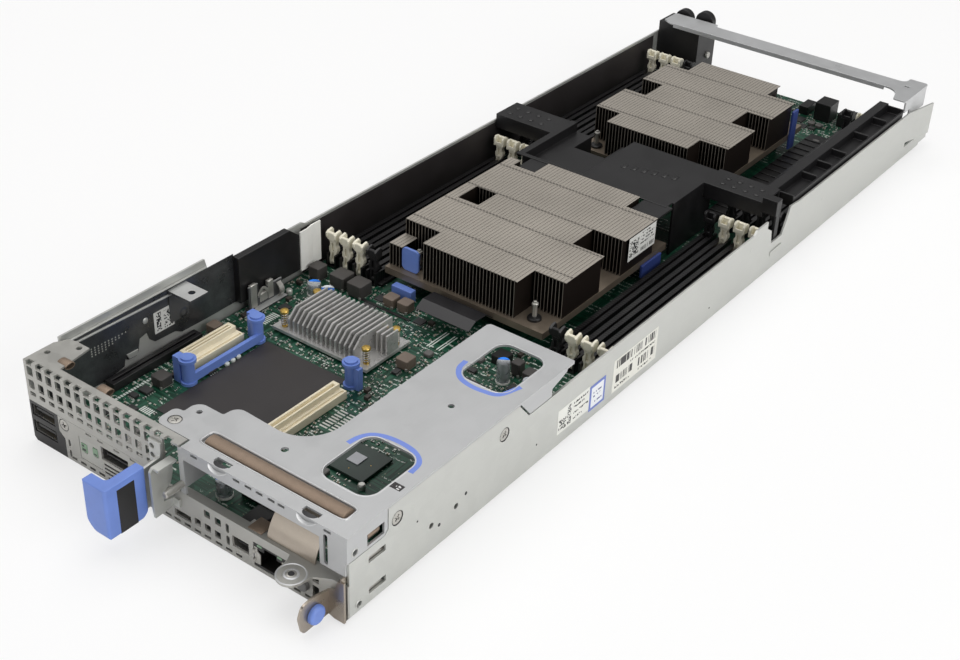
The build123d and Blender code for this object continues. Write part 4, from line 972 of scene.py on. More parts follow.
class SLED_OT_coolers(bpy.types.Operator):
    """Brass push pins with coil springs, the screws with their cups, and the label of the first heat sink"""

    bl_idname = "sled.coolers"
    bl_label = "Cooler details"

    def execute(self, context):
        pin = [
            (0.3, 0.0), (1.5, 0.0), (1.5, 0.6), (0.75, 0.8), (0.75, 6.7), (1.3, 6.9),
            (2.0, 7.1), (2.1, 7.5), (2.1, 8.2), (1.8, 8.6), (0.5, 8.7), (0.3, 8.3),
        ]
        coils, coil_radius, wire_radius = 5, 1.55, 0.24
        surface = Surface()
        for x, y, base in feet("push_pins"):
            surface.turned((x, y, base), pin, sides=24)
            walk = np.linspace(0, 1, 97)
            spiral = coil_radius * rays(walk * FULL * coils)
            path = points(x + spiral[:, 0], y + spiral[:, 1], base + 0.7 + walk * 6.0)
            surface.swept(path, wire_radius * rays(turns(6)), kind=1)
        make("push_pins_turned", surface, "brass_pin bright_steel", replaces=("push_pins",))

        cup = [(0.3, 0.0), (3.4, 0.0), (3.4, 1.0), (2.9, 1.5), (1.6, 1.7), (0.4, 1.8)]
        post = [
            (0.3, 1.5), (1.15, 1.5), (1.15, 7.4), (1.6, 7.7), (1.6, 8.5), (1.35, 8.8), (0.8, 8.9), (0.8, 9.6),
            (0.3, 9.7),
        ]
        surface = Surface()
        for foot in feet("sink_screws"):
            surface.turned(foot, cup, sides=28, kind=1)
            surface.turned(foot, post, sides=24)
        make("sink_screws_turned", surface, "bright_steel black_plastic",
             replaces=("sink_screws",))

        face = box_mm("sink_one_fins")[1][0]
        rows = [
            (249.3, 257.6, 27.0, 35.6, "code"), (260.0, 271.8, 26.6, 28.6, "bars"),
            (259.2, 272.0, 30.6, 31.4, "marks"), (259.2, 270.4, 32.4, 33.2, "marks"),
            (259.2, 271.2, 34.2, 35.0, "marks"), (260.0, 268.0, 36.0, 36.8, "marks"),
        ]
        low, high = (face - 0.02, 248.5, 25.2), (face + 0.12, 273.0, 37.8)
        label("sink_label", low, high, (226, 226, 222), (30, 30, 32), rows, 4.0, edge=0.04)
        return {"FINISHED"}


class SLED_OT_board_parts(bpy.types.Operator):
    """Chips, coils, capacitors and connectors on the board, and a seeded scatter of tiny parts"""

    bl_idname = "sled.board_parts"
    bl_label = "Board parts"

    def execute(self, context):
        top = box_mm("system_board")[1][2]
        surface = Surface()
        for node in ("dark_inductors", "tan_inductors"):
            for low, high in solids(node):
                dark = node == "dark_inductors" or (high[0] < 0 and high[1] < 60)
                surface.blocks(low + (0, 0, 0.35), high, 0.22, 0 if dark else 1, corner=0.6)
                for side in (-1, 1):
                    x = (low[0] + high[0]) / 2 + side * ((high[0] - low[0]) / 2 - 0.7)
                    surface.blocks((x - 0.55, low[1] - 0.15, top), (x + 0.55, high[1] + 0.15, top + 1.6), 0.1, 2)
        make("inductors_shaped", surface, "coil_black coil_tan bright_steel",
             replaces=("dark_inductors", "tan_inductors"))

        surface = Surface()
        for low, high in solids("board_capacitors"):
            x, y = (low[:2] + high[:2]) / 2
            radius, tall = (high[0] - low[0]) / 2, high[2] - top
            can = radius * 0.93
            profile = [
                (0.3, 0.9), (can, 0.9), (can, 1.5), (can * 0.93, 2.0), (can * 0.93, 2.3), (can, 2.8),
                (can, tall - 0.5), (can * 0.94, tall), (can * 0.86, tall - 0.1), (0.3, tall - 0.1),
            ]
            surface.turned((x, y, top), profile, sides=36)
            foot = [(0.3, 0.0), (radius, 0.0), (radius, 0.9), (can, 1.1), (0.3, 1.1)]
            surface.turned((x, y, top), foot, sides=12, kind=1)
        make("capacitors_shaped", surface, "can_printed white_plastic", smooth=40,
             replaces=("board_capacitors",))

        low, high = box_mm("management_chip")
        wide, long, _ = high - low
        surface = Surface()
        for first, last, edge, kind in (
            ((0, 0, 0.5), (wide, long, 1.75), 0.08, 0),
            ((0.6, 0.6, 0), (wide - 0.6, long - 0.6, 0.6), 0.05, 2),
            ((4.9, 6.8, 1.7), (11.1, 13.2, 2.3), 0.1, 1),
            ((15.0, 10.0, 1.7), (15.5, 10.5, 1.85), 0.05, 3),
            ((9.0, 3.2, 1.7), (9.5, 3.7, 1.85), 0.05, 3),
        ):
            surface.blocks(low + first, low + last, edge, kind)
        make("management_chip_shaped", surface, "chip_laminate silver_die bright_steel brass_pin",
             replaces=("management_chip",))

        self.fixed(top)
        self.scatter(context.scene.sled_sizes.seed, top)
        return {"FINISHED"}

    def fixed(self, top):
        """Parts and printed marks that stand at places of their own, and near-black ribbed strips beside the coolers
        that are painted shade over the board.
        """
        surface = Surface()
        for x, y, step_x, step_y, count, wide, long in (
            (-75.6, 34.0, 0.0, 1.5, 20, 1.5, 1.0),
            (-62.0, 35.2, 1.15, 0.0, 6, 0.7, 3.8),
            (-56.6, 96.8, 0.9, 0.0, 6, 0.5, 3.2),
            (1.6, 152.0, 1.4, 0.0, 2, 0.6, 15.0),
            (6.8, 152.6, 1.4, 0.0, 2, 0.6, 14.0),
            (-71.4, 118.0, 0.0, 1.3, 8, 4.6, 0.7),
            (-22.0, 34.4, 1.2, 0.0, 10, 0.7, 2.2),
            (12.0, 112.0, 1.5, 0.0, 9, 0.8, 5.0),
            (24.0, 126.0, 1.5, 0.0, 7, 0.8, 4.0),
        ):
            surface.row((x, y, top - 0.01), (step_x, step_y, 0.0), count, (wide, long, 0.04), 0.01, 3)
        for x in (4.4, 9.6):
            surface.row((x, 76.0, top - 0.01), (0.0, 1.9, 0.0), 8, (4.2, 0.9, 0.12), 0.03, 1)
        for x, y in ((-60.7, 72.3), (-56.5, 72.3), (-72.6, 44.6), (-66.3, 44.6)):
            surface.row((x, y, top), (0.0, 1.2, 0.0), 4, (0.6, 0.35, 0.5), 0.05, 1)
        for spots, profile, sides, kind in (
            (
                [(-56.9, 83.0), (-57.0, 86.8), (-57.2, 90.4), (-8.4, 34.0), (30.4, 100.4)],
                [(0.2, 0.0), (1.2, 0.0), (1.25, 1.1), (0.9, 1.5), (0.2, 1.6)], 14, 3,
            ),
            (
                [(60.6, 149.4)],
                [(0.2, 0.0), (3.0, 0.0), (3.0, 0.8), (2.8, 1.1), (2.8, 8.2), (2.5, 8.8), (0.2, 8.7)], 28, 4,
            ),
            ([(-77.2, 145.2), (46.0, 55.4)], [(0.2, 0.0), (1.6, 0.0), (1.6, 2.0), (1.2, 2.5), (0.2, 2.5)], 20, 1),
        ):
            surface.turned([(x, y, top) for x, y in spots], profile, sides=sides, kind=kind)
        for low_x, low_y, high_x, high_y, foot, tall, edge, kind in (
            (24.0, 8.0, 33.4, 20.0, 0.0, 3.4, 0.3, 2),
            (34.6, 12.0, 39.0, 20.0, 0.0, 2.0, 0.3, 2),
            (44.0, 24.0, 60.0, 40.0, 0.0, 2.2, 0.3, 2),
            (-48.6, 162.4, -17.2, 164.2, 0.0, 0.5, 0.25, 2),
            (32.6, 160.0, 39.8, 167.4, 0.0, 4.6, 0.25, 2),
            (-60.0, 72.0, -56.9, 77.2, 0.1, 1.5, 0.15, 0),
            (-72.0, 44.2, -66.6, 48.6, 0.1, 1.4, 0.15, 0),
            (-66.4, 31.0, -61.6, 35.4, 0.0, 1.2, 0.15, 0),
        ):
            surface.blocks((low_x, low_y, top + foot), (high_x, high_y, top + tall), edge, kind)
        # Painted shade: near-black strips with ribs beside the coolers, where the board lies in shadow.
        for low_x, high_x, low_y, high_y in (
            (47.4, 53.0, 178.0, 318.0), (36.6, 52.6, 346.0, 472.0),
            (-50.2, -46.8, 178.0, 318.0), (-50.2, -47.6, 346.0, 472.0),
        ):
            surface.blocks((low_x, low_y, top), (high_x, high_y, top + 1.6), 0.2, 2)
            margin, step = 4.0, 7.0
            count = math.ceil((high_y - low_y - 2 * margin) / step)
            size = (high_x - low_x - 1.2, 1.2, 0.7)
            surface.row((low_x + 0.6, low_y + margin, top + 1.5), (0.0, step, 0.0), count, size, 0.1, 2)
        make("placed_parts", surface, "chip_black solder film_black silk_white can_printed")

    def scatter(self, seed, top):
        """Places parts at random in the free zones of the board, keeping off everything that stands on it."""
        random = np.random.default_rng(seed)
        cell, board_edge = 0.5, 90
        taken = np.zeros((360, 1060), bool)

        def cells(low_x, low_y, high_x, high_y, margin=0.3):
            """The cells that a rectangle and its margin touch."""
            i0 = int((low_x - margin + board_edge) / cell)
            i1 = int(math.ceil((high_x + margin + board_edge) / cell))
            j0, j1 = int((low_y - margin) / cell), int(math.ceil((high_y + margin) / cell))
            return slice(max(i0, 0), i1), slice(max(j0, 0), j1)

        standing = (
            "dark_inductors tan_inductors board_capacitors management_chip mezzanine_connectors card_guides "
            "chipset_base board_connectors memory_sockets processor_sockets network_jack small_sockets lamp_block"
        )
        for low, high in solids(*standing.split()):
            if low[2] < top + 3:
                taken[cells(low[0], low[1], high[0], high[1])] = True
        kept_free = (
            (-56.2, 40.0, -8.0, 108.0), (-76.0, 33.5, -73.5, 65.0), (-62.4, 34.8, -54.8, 39.4),
            (0.8, 151.5, 9.2, 168.0), (-72.0, 117.6, -66.2, 129.0), (11.6, 111.6, 26.0, 117.4),
            (23.6, 125.6, 35.0, 130.4), (3.8, 75.4, 14.4, 91.4), (-60.8, 71.6, -55.4, 92.4),
            (-73.0, 43.8, -65.4, 49.0), (-67.0, 30.6, -61.2, 35.8), (57.0, 145.8, 64.2, 153.0),
            (-49.0, 162.0, -16.8, 164.6), (32.2, 159.6, 40.2, 167.8), (-79.4, 143.0, -75.0, 147.4),
            (43.8, 53.2, 48.2, 57.6),
        )
        for spot in kept_free:
            taken[cells(*spot)] = True
        sorts = [
            ("soic", 5.0, 4.0, 1.5, 30), ("square", 5.0, 5.0, 0.9, 18), ("square", 7.0, 7.0, 1.1, 8),
            ("coil", 4.0, 4.0, 2.0, 16), ("tantalum", 3.4, 2.6, 1.8, 24), ("chip", 1.7, 0.9, 0.7, 420),
            ("chip", 1.1, 0.6, 0.45, 820), ("pad", 1.0, 1.0, 0.12, 420),
        ]
        zones = [
            (-64, 12, -18, 39, 1.0), (-64, 38, -57, 60, 1.0), (-6, 30, 42, 110, 2.6), (42, 18, 82, 54, 1.4),
            (44, 100, 82, 160, 1.4), (-62, 106, 2, 176, 2.4), (2, 108, 48, 176, 2.0), (-84, 12, -62, 160, 1.6),
            (-63, 62, -56, 106, 0.8), (-50, 470, 66, 510, 1.6), (48, 176, 53, 315, 0.3),
            (-52, 345, -46, 465, 0.3), (36, 345, 52, 470, 0.6),
        ]
        share = np.array([(b - a) * (d - c) * w for a, c, b, d, w in zones])
        share /= share.sum()
        surface = Surface()
        for sort, wide, long, tall, count in sorts:
            low, high, turned = [], [], []
            for zone in random.choice(len(zones), count * 4, p=share):
                a, c, b, d, _ = zones[zone]
                turn = random.random() < 0.5
                w, l = (long, wide) if turn else (wide, long)
                x = round(random.uniform(a + w / 2, max(b - w / 2, a + w / 2 + 0.1)) / cell) * cell
                y = round(random.uniform(c + l / 2, max(d - l / 2, c + l / 2 + 0.1)) / cell) * cell
                spot = (x - w / 2, y - l / 2, x + w / 2, y + l / 2)
                if taken[cells(*spot, 0.0)].any():
                    continue
                taken[cells(*spot, 0.25)] = True
                low.append((*spot[:2], top - 0.02))
                high.append((*spot[2:], top + tall))
                turned.append(turn)
                if len(low) >= count:
                    break
            low, high = np.array(low), np.array(high)
            if sort == "chip":
                self.chips(surface, low, high, wide, random.random(len(low)) < 0.65)
            elif sort == "soic":
                self.soics(surface, low, high, np.array(turned), top)
            elif sort == "coil":
                surface.blocks(low, high, 0.3, 3, corner=0.7)
            elif sort == "tantalum":
                surface.blocks(low + (0.2, 0.2, 0.0), high - (0.2, 0.2, 0.0), 0.12, 5)
                surface.blocks(low + (0.0, 0.7, 0.0), high - (0.0, 0.7, 1.2), 0.05, 2)
            elif sort == "pad":
                surface.blocks(low, high, 0.04, 2)
            else:
                surface.blocks(low, high, 0.08, 0)
                surface.blocks(low - (0.12, 0.12, 0.0), high + (0.12, 0.12, 0.2 - tall), 0.03, 2)
        make("tiny_parts", surface, "chip_black coil_tan solder coil_grey ceramic tantalum")

    def chips(self, surface, low, high, wide, dark):
        """Two-ended parts: a dark or a tan body between two soldered ends on its long axis."""
        long_x = ((high - low)[:, 0] > (high - low)[:, 1])[:, None]
        size = wide / 1.7
        inset = np.where(long_x, [0.3 * size, 0.02, 0.0], [0.02, 0.3 * size, 0.0])
        for kind, chosen in ((0, dark), (4, ~dark)):
            surface.blocks(low[chosen] + inset[chosen], high[chosen] - inset[chosen] - (0, 0, 0.03), 0.04, kind)
        half = (high - low) / 2
        grip = np.minimum(half, np.where(long_x, [0.24 * size, 1e6, 1e6], [1e6, 0.24 * size, 1e6]))
        for end in (-1, 1):
            centre = (low + high) / 2 + end * (half - grip) * np.where(long_x, [1, 0, 0], [0, 1, 0])
            surface.blocks(centre - grip, centre + grip, 0.05, 2)

    def soics(self, surface, low, high, turned, top):
        """Chips with four legs along each of two sides."""
        surface.blocks(low + (0.5, 0.5, 0.15), high - (0.5, 0.5, 0.0), 0.12, 0)
        across = np.repeat(turned, 4)
        along = np.tile(np.arange(4) - 1.5, len(low))
        half_x, half_y, _ = np.repeat((high - low) / 2 - 0.5, 4, 0).T
        size = np.where(across[:, None], [0.5, 0.2, 0.3], [0.2, 0.5, 0.3])
        for side in (-1, 1):
            legs = np.repeat((low + high) / 2, 4, 0)
            legs[:, 0] += np.where(across, side * half_x, along)
            legs[:, 1] += np.where(across, along, side * half_y)
            legs[:, 2] = top + 0.3
            surface.blocks(legs - size, legs + size, 0.04, 2)


class SLED_OT_cover_details(bpy.types.Operator):
    """Printed blue arcs and the small mark on the cover, the lips of its openings, louvres and screw heads"""

    bl_idname = "sled.cover_details"
    bl_label = "Cover details"

    def execute(self, context):
        top = COVER_TOP
        surface = Surface()
        for knots in (
            [
                (51.2, 41.8), (52.1, 47.0), (55.0, 51.7), (61.0, 54.2),
                (68.4, 54.6), (74.8, 53.3), (79.7, 49.4), (81.0, 42.8),
            ],
            [
                (52.2, 114.4), (53.2, 108.6), (57.4, 103.6), (63.4, 101.6),
                (70.2, 101.7), (77.0, 104.0), (80.6, 113.7),
            ],
        ):
            walk = np.linspace(0, len(knots) - 1, 60)
            path = points(*(spline(values, walk) for values in np.transpose(knots)), top + 0.005)
            surface.swept(path, [(-1.2, 0.0), (1.2, 0.0), (1.15, 0.03), (-1.15, 0.03)])
        make("printed_arcs", surface, "printed_blue")

        surface = Surface()
        section = [(-0.05, -1.1), (-0.05, 0.0), (0.12, 0.04), (0.5, 0.045), (0.7, 0.0), (0.7, -0.1), (0.1, -1.1)]
        for middle, size, corner in (((66.4, 36.5), (25.5, 31.2), 6.5), ((67.0, 120.2), (23.9, 31.5), 6.0)):
            quarter = np.linspace(0, math.pi / 2, 9)
            away = np.concatenate([rays(quarter + k * math.pi / 2) for k in range(4)])
            centres = np.array([(1, 1), (-1, 1), (-1, -1), (1, -1)]) * (np.array(size) / 2 - corner)
            loop = middle + np.repeat(centres, len(quarter), 0) + corner * away
            surface.lip(loop, away, section + section[:1], top)
        make("opening_lips", surface, "cover_bright", smooth=60)

        rows = [(80.6, 82.2, 32.6, 34.2, "code"), (82.8, 84.0, 32.2, 34.4, "code")]
        low, high = (79.9, 31.8, top - 0.01), (84.9, 35.2, top + 0.05)
        ground, ink = (34, 28, 30), (214, 214, 214)
        label("cover_mark", low, high, ground, ink, rows, 9.0, edge=0.02, flat=True)

        surface = Surface()
        for x in (23.5, 68.0):
            u = np.linspace(0, math.pi, 29)
            bow = np.sin(u)
            path = points(x - 4.7 * np.cos(u), 1.4 - 2.6 * bow, top - 0.1 - 1.9 * bow)
            surface.swept(path, bar(0.85, 0.25), grow=0.5 + 0.5 * bow)
            half_disc = (x, 2.3) + (3.5, 2.2) * rays(np.linspace(math.pi, FULL, 25))
            surface.outline(half_disc, top - 0.4, top + 0.03, 0.02, 1)
        make("louvres", surface, "cover_bright shadow_metal", smooth=50)

        rim = [(-0.5, -0.1), (-0.35, 0.28), (0.0, 0.42), (0.35, 0.28), (0.5, -0.1), (-0.5, -0.12)]
        ray = rays(turns(64))
        square = np.sign(ray) * np.abs(ray) ** (0.08, 0.35)
        surface = Surface().lip((43.6, 10.8) + square * (36.7, 4.2), unit(square), rim, top)
        make("pan_rim", surface, "cover_bright", smooth=60)

        surface = Surface()
        surface.screws([(-9.9, 10.6, top - 0.35)], 2.6, 0.42)
        surface.screws([(86.75, 27.9, 31.8), (86.75, 94.3, 31.0)], 2.85, 0.4, axis=0, turn=0.7)
        surface.screws([(-66.0, 0.25, 17.0)], 2.55, 0.35, axis=1, turn=0.2, way=-1)
        surface.screws([(*LUG, 17.3)], 1.9, 0.6, turn=0.9)
        for spot, radius, axis, way in (
            ((-9.9, 10.6, 40.47), 2.6, 2, 1),
            ((87.17, 27.9, 31.8), 2.9, 0, 1),
            ((87.17, 94.3, 31.0), 2.9, 0, 1),
            ((-66.0, 0.03, 17.0), 2.6, 1, -1),
        ):
            outer = radius + 0.32
            seat = [(radius, -0.3 * way), (outer, -0.1 * way), (outer, 0.03 * way), (radius, 0.03 * way)]
            surface.turned(spot, seat, axis=axis, sides=36, kind=1, ring=True)
        for spot, axis, length in (
            ((-9.9, 10.6, 40.0), 2, -5.0),
            ((86.6, 27.9, 31.8), 0, -3.4),
            ((86.6, 94.3, 31.0), 0, -3.4),
            ((-66.0, 0.5, 17.0), 1, 3.0),
            ((*LUG, 17.6), 2, -4.8),
        ):
            shank = [(0.3, 0.0), (1.3, 0.0), (1.3, length * 0.5), (1.2, length), (0.3, length)]
            surface.turned(spot, shank, axis=axis, sides=16)
        make("screw_heads", surface, "bright_steel shadow_metal", smooth=35, replaces=("screws",))
        return {"FINISHED"}


class SLED_OT_walls(bpy.types.Operator):
    """Labels, rivets, pips and ring marks on the right wall, and the liner, rail and label inside the left wall"""

    bl_idname = "sled.walls"
    bl_label = "Wall details"

    def execute(self, context):
        self.labels()
        self.right()
        self.left()
        return {"FINISHED"}

    def labels(self):
        """Three labels outside on the right wall."""
        near = [
            (134.0, 139.6, 9.0, 14.6, "code"), (140.4, 143.2, 9.0, 19.2, "code"),
            (145.0, 156.0, 17.6, 18.6, "marks"), (145.0, 154.0, 15.4, 16.4, "marks"),
            (145.0, 156.4, 12.4, 13.4, "marks"), (145.0, 152.0, 9.6, 10.6, "marks"),
        ]
        blue = [
            (160.4, 166.8, 14.4, 15.2, "marks"), (160.4, 166.0, 12.4, 13.2, "marks"),
            (160.4, 167.2, 9.4, 10.2, "marks"),
        ]
        far = [
            (178.0, 211.0, 18.0, 22.2, "bars"), (190.0, 211.0, 15.6, 16.6, "marks"),
            (178.0, 192.0, 10.2, 14.2, "bars"), (178.0, 190.0, 7.4, 8.6, "marks"),
            (197.0, 211.0, 9.6, 14.0, "bars"), (197.0, 209.0, 7.2, 8.2, "marks"),
        ]
        back = WALL_FACE - 0.02
        low, high = (back, 133.2, 7.8), (WALL_FACE + 0.1, 157.2, 20.2)
        label("wall_label_near", low, high, (224, 224, 218), (34, 34, 36), near, 2.0)
        low, high = (back, 157.4, 6.2), (WALL_FACE + 0.1, 169.8, 19.4)
        label("wall_label_blue", low, high, (98, 116, 188), (60, 66, 120), blue, 5.0, rim=((224, 226, 230), 1.4))
        low, high = (back, 176.0, 5.8), (WALL_FACE + 0.08, 213.0, 23.0)
        label("wall_label_far", low, high, (222, 221, 213), (40, 38, 38), far, 7.0)

    def right(self):
        """Rivets, rings, pips and slots of the right wall."""
        face = WALL_FACE
        surface = Surface()
        rivets = ((53.1, 11.8, 0.9), (69.8, 16.8, 0.9), (39.6, 22.4, 0.5), (118.0, 12.0, 0.5), (262.0, 9.0, 0.5))
        for y, z, radius in rivets:
            rivet = [(0.2, -0.05), (radius, -0.05), (radius * 0.8, 0.12), (radius * 0.3, 0.2), (0.1, 0.2)]
            surface.turned((face, y, z), rivet, axis=0, sides=16, kind=1)
        for y, z, radius in ((4.2, 31.4, 1.9), (6.0, 5.3, 2.0)):
            ring = [(1.35, -0.05), (radius, -0.05), (radius, 0.1), (radius - 0.3, 0.3), (1.5, 0.3), (1.35, 0.1)]
            surface.turned((face, y, z), ring, axis=0, sides=28, ring=True)
        dome = ((1.0, -0.05), (0.97, 0.02), (0.7, 0.1), (0.3, 0.14), (0.02, 0.15))
        pips = ((84.3, 31.9, 1.9, 2.1), (36.5, 31.4, 1.0, 0.9), (300.0, 24.0, 1.1, 1.1), (380.0, 20.0, 1.1, 1.1))
        for y, z, *half in pips:
            oval = (rays(turns(24)) * half).T
            surface.add([points(face + lift, y + oval[0] * size, z + oval[1] * size) for size, lift in dome])
        for corners, low, high, edge, kind in (
            ([(322.5, 10.5), (334.6, 10.7), (334.2, 13.3), (322.9, 13.1)], -0.05, 0.5, 0.2, 0),
            ([(11.9, 6.1), (21.0, 6.1), (17.2, 8.5), (14.4, 8.5)], -1.7, -1.2, 0.1, 2),
            ([(11.9, 21.1), (21.0, 21.1), (17.2, 23.5), (14.4, 23.5)], -1.7, -1.2, 0.1, 2),
            ([(9.6, 29.4), (19.8, 29.4), (19.8, 34.6), (9.6, 34.6)], -2.6, -2.2, 0.2, 3),
        ):
            surface.outline(corners, face + low, face + high, edge, kind, plane=0)
        make("wall_marks", surface, "zinc_steel shadow_metal bright_steel blank_nickel", smooth=40)

    def left(self):
        """The clip for cables, the liner with its rails, bosses and pips, and the label inside the left wall."""
        surface = Surface()
        surface.blocks(
            [(-81.3, 122.0, 6.9), (-81.3, 133.4, 8.6), (-81.6, 127.8, 9.0)],
            [(-79.2, 126.0, 20.6), (-79.2, 137.0, 18.2), (-79.3, 133.0, 13.4)],
            0.3,
        )
        arch = np.sin(np.linspace(0, math.pi, 14))
        surface.swept(points(-78.9, 126.4 + 0.5 * np.arange(14), 13.5 + 3.2 * arch), bar(0.3, 0.6))
        bow = np.sin(np.linspace(0, math.pi, 12))
        path = points(-79.4 + 2.6 * bow, 140.2, np.linspace(7.0, 15.0, 12))
        surface.swept(path, bar(0.3, 1.4), up=(0.0, 1.0, 0.0))
        make("cable_clip", surface, "bright_steel", smooth=40)

        face = LINER_FACE
        surface = Surface()
        edge = [
            (5.0, 37.4), (5.0, 12.0), (12.0, 9.2), (40.0, 9.2), (49.6, 11.0), (50.4, 14.4), (52.0, 13.2),
            (56.8, 13.0), (58.2, 15.2), (59.4, 20.6), (63.8, 21.6), (65.0, 17.4), (68.0, 14.8), (80.0, 14.2),
            (84.0, 12.0), (101.0, 11.6), (118.4, 11.6), (118.4, 37.4),
        ]
        # The liner's dark grey is partly the plate's own grey and partly painted shade over the inside of the left
        # wall.
        surface.outline(edge, face - 0.02, face + 0.45, 0.12, 0, plane=0)
        ramp = [(-0.45, -0.5), (0.25, -0.5), (0.6, -0.1), (0.6, 0.3), (0.25, 0.6), (-0.45, 0.6)]
        rail = [(-0.45, -0.35), (0.4, -0.35), (0.55, 0.0), (0.4, 0.35), (-0.45, 0.35)]
        reach = np.linspace(0, 1, 12)
        surface.swept(points(face + 0.6, 19.0 + 60.0 * reach, 36.2 - 1.8 * reach), ramp, kind=1)
        surface.swept(points(face + 0.6, 19.0 + 82.0 * reach, 38.6 - 0.2 * reach), rail, kind=1)
        rivet = [(0.2, 0.0), (1.5, 0.0), (1.5, 0.25), (1.1, 0.5), (0.2, 0.55)]
        surface.turned((face + 0.4, 63.4, 28.1), rivet, axis=0, sides=20, kind=1)
        dish = [(0.2, 0.0), (2.9, 0.0), (2.6, 0.6), (1.5, 0.8), (1.4, 0.3), (0.2, 0.3)]
        surface.turned((face + 0.4, 85.3, 22.2), dish, axis=0, sides=24)
        for line in range(4):
            start = (face + 0.4, 33.0 - 0.34, 28.6 - 0.34 - 1.2 * line)
            surface.row(start, (0.0, 1.9, -0.08), 11 - 2 * line, (0.08, 0.68, 0.68), 0.03, 3)
        tab = [(51.0, 16.6), (57.6, 16.4), (56.8, 13.6), (52.2, 13.8)]
        surface.outline(tab, face + 0.4, face + 1.0, 0.15, 1, plane=0)
        make("left_liner", surface, "liner_metal zinc_steel shadow_metal solder", smooth=40)
        rows = [(69.6, 72.4, 19.4, 28.6, "marks"), (74.0, 79.0, 19.2, 28.0, "code")]
        low, high = (face + 0.42, 68.2, 18.4), (face + 0.55, 79.8, 29.4)
        label("left_label", low, high, (214, 214, 210), (30, 30, 34), rows, 3.0, corner=0.6)


class SLED_OT_front(bpy.types.Operator):
    """Folded contact bands, the gasket, network jack springs, the guide lug's rims, port tongues and windows"""

    bl_idname = "sled.front"
    bl_label = "Front details"

    def execute(self, context):
        surface = Surface()
        for x, y in ((-72.2, 9.6), (-45.8, 7.0)):
            self.band(surface, (x, y, 39.7), 5.6, 2.5, 1.5)
        self.band(surface, (84.3, 15.8, 32.3), 6.4, 1.9, 1.9, along_y=True)
        surface.blocks((36.5, 1.2, 17.5), (43.5, 8.5, 17.9), 0.1)
        make("contact_bands", surface, "gasket_weave", smooth=50, replaces=("contact_clips",))

        cos, sin = rays(turns(20)).T
        walk = np.linspace(0, 1, 70)
        tube = np.stack([3.1 * np.sign(cos) * np.abs(cos) ** 0.8, np.where(sin > 0, 1.5, 0.75) * sin], -1)
        ripple = 1 + 0.012 * np.sin(walk * 90)
        surface = Surface().swept(points(9.2 + 69.6 * walk, 10.8, 40.05), tube, grow=ripple)
        make("gasket_tube", surface, "gasket_weave", smooth=50, replaces=("gasket",))

        self.jack()
        surface = Surface()
        for level, profile, sides in (
            (17.5, [(5.3, -0.05), (6.0, -0.05), (6.0, 0.1), (5.65, 0.28), (5.3, 0.1)], 40),
            (17.5, [(2.2, -0.05), (3.1, -0.05), (3.1, 0.2), (2.6, 0.5), (2.2, 0.42)], 32),
        ):
            surface.turned((*LUG, level), profile, sides=sides, ring=True)
        surface.turned((*LUG, 17.7), [(0.2, 0.0), (1.25, 0.0), (1.25, 0.26), (0.2, 0.26)], sides=20, kind=1)
        make("lug_rim", surface, "cover_bright shadow_metal", smooth=50)

        surface = Surface()
        for base in (4.8, 13.2):
            surface.blocks((-84.4, 1.0, base + 2.7), (-73.6, 11.5, base + 4.2), 0.15)
            surface.row((-82.6, 1.6, base + 2.55), (2.4, 0.0, 0.0), 4, (1.1, 8.0, 0.16), 0.04, 1)
        surface.blocks([(-42.4, 1.4, 12.9), (30.6, 1.4, 7.4)], [(-29.6, 9.0, 13.9), (36.2, 9.0, 8.2)], 0.12)
        make("port_tongues", surface, "black_plastic brass_pin")

        surface = Surface()
        surface.blocks([(-56.4, -0.1, 8.8), (-49.4, -0.1, 9.8)], [(-52.8, 0.5, 13.0), (-46.4, 0.5, 13.8)], 0.2)
        surface.blocks(
            [(-55.8, -0.16, 9.4), (-55.8, -0.16, 11.4), (-48.8, -0.16, 10.4)],
            [(-53.4, 0.4, 10.6), (-54.4, 0.4, 12.4), (-47.0, 0.4, 11.2)],
            0.1, 1,
        )
        make("status_windows", surface, "lamp_green shadow_metal")
        return {"FINISHED"}

    def jack(self):
        """Springs, contacts, lamps and cheeks of the network jack."""
        middle = 48.6
        surface = Surface()
        u = np.linspace(0, 1, 9)
        for side in (-1, 1):
            for z in (5.0, 9.6):
                path = points(middle + side * (8.2 - 1.2 * u**2), 0.15 - 1.1 * np.sin(u * math.pi), z)
                surface.swept(path, bar(0.12, 0.8))
            profile = [(8.0, 3.4), (5.0, 3.6), (4.8, 8.4), (6.4, 9.6), (6.2, 11.4), (8.0, 11.4)]
            surface.outline([(middle + side * x, z) for x, z in profile], -0.15, 0.35, 0.1, 0, plane=1)
        u = np.linspace(0, 1, 8)
        for x in 44.6 + 1.02 * np.arange(8):
            surface.swept(points(x, 2.0 + 9.0 * u, 10.4 - 4.4 * u**0.8), bar(0.18, 0.12), kind=1)
        surface.blocks([(42.0, -0.05, 11.9), (52.4, -0.05, 11.9)], [(44.4, 0.6, 12.9), (54.8, 0.6, 12.9)], 0.15, 2)
        make("jack_details", surface, "bright_steel brass_pin lamp_green")

    def band(self, surface, middle, wide, reach, rise, along_y=False):
        """A springy strip rolled into a flattened C: an open arc drawn out across the strip."""
        outer = rays(np.linspace(-0.9 * math.pi, 0.9 * math.pi, 28)) * (reach, rise)
        inner = outer * (1 - 0.28 / np.array([reach, rise]))
        loop = np.concatenate([outer, inner[::-1]])
        x, y, z = middle
        rings = []
        for shift, size in ((-wide / 2, 0.95), (0.15 - wide / 2, 1.0), (wide / 2 - 0.15, 1.0), (wide / 2, 0.95)):
            out, up = (loop * size).T
            rings.append(points(x + out, y + shift, z + up) if along_y else points(x + shift, y + out, z + up))
        surface.add(rings)


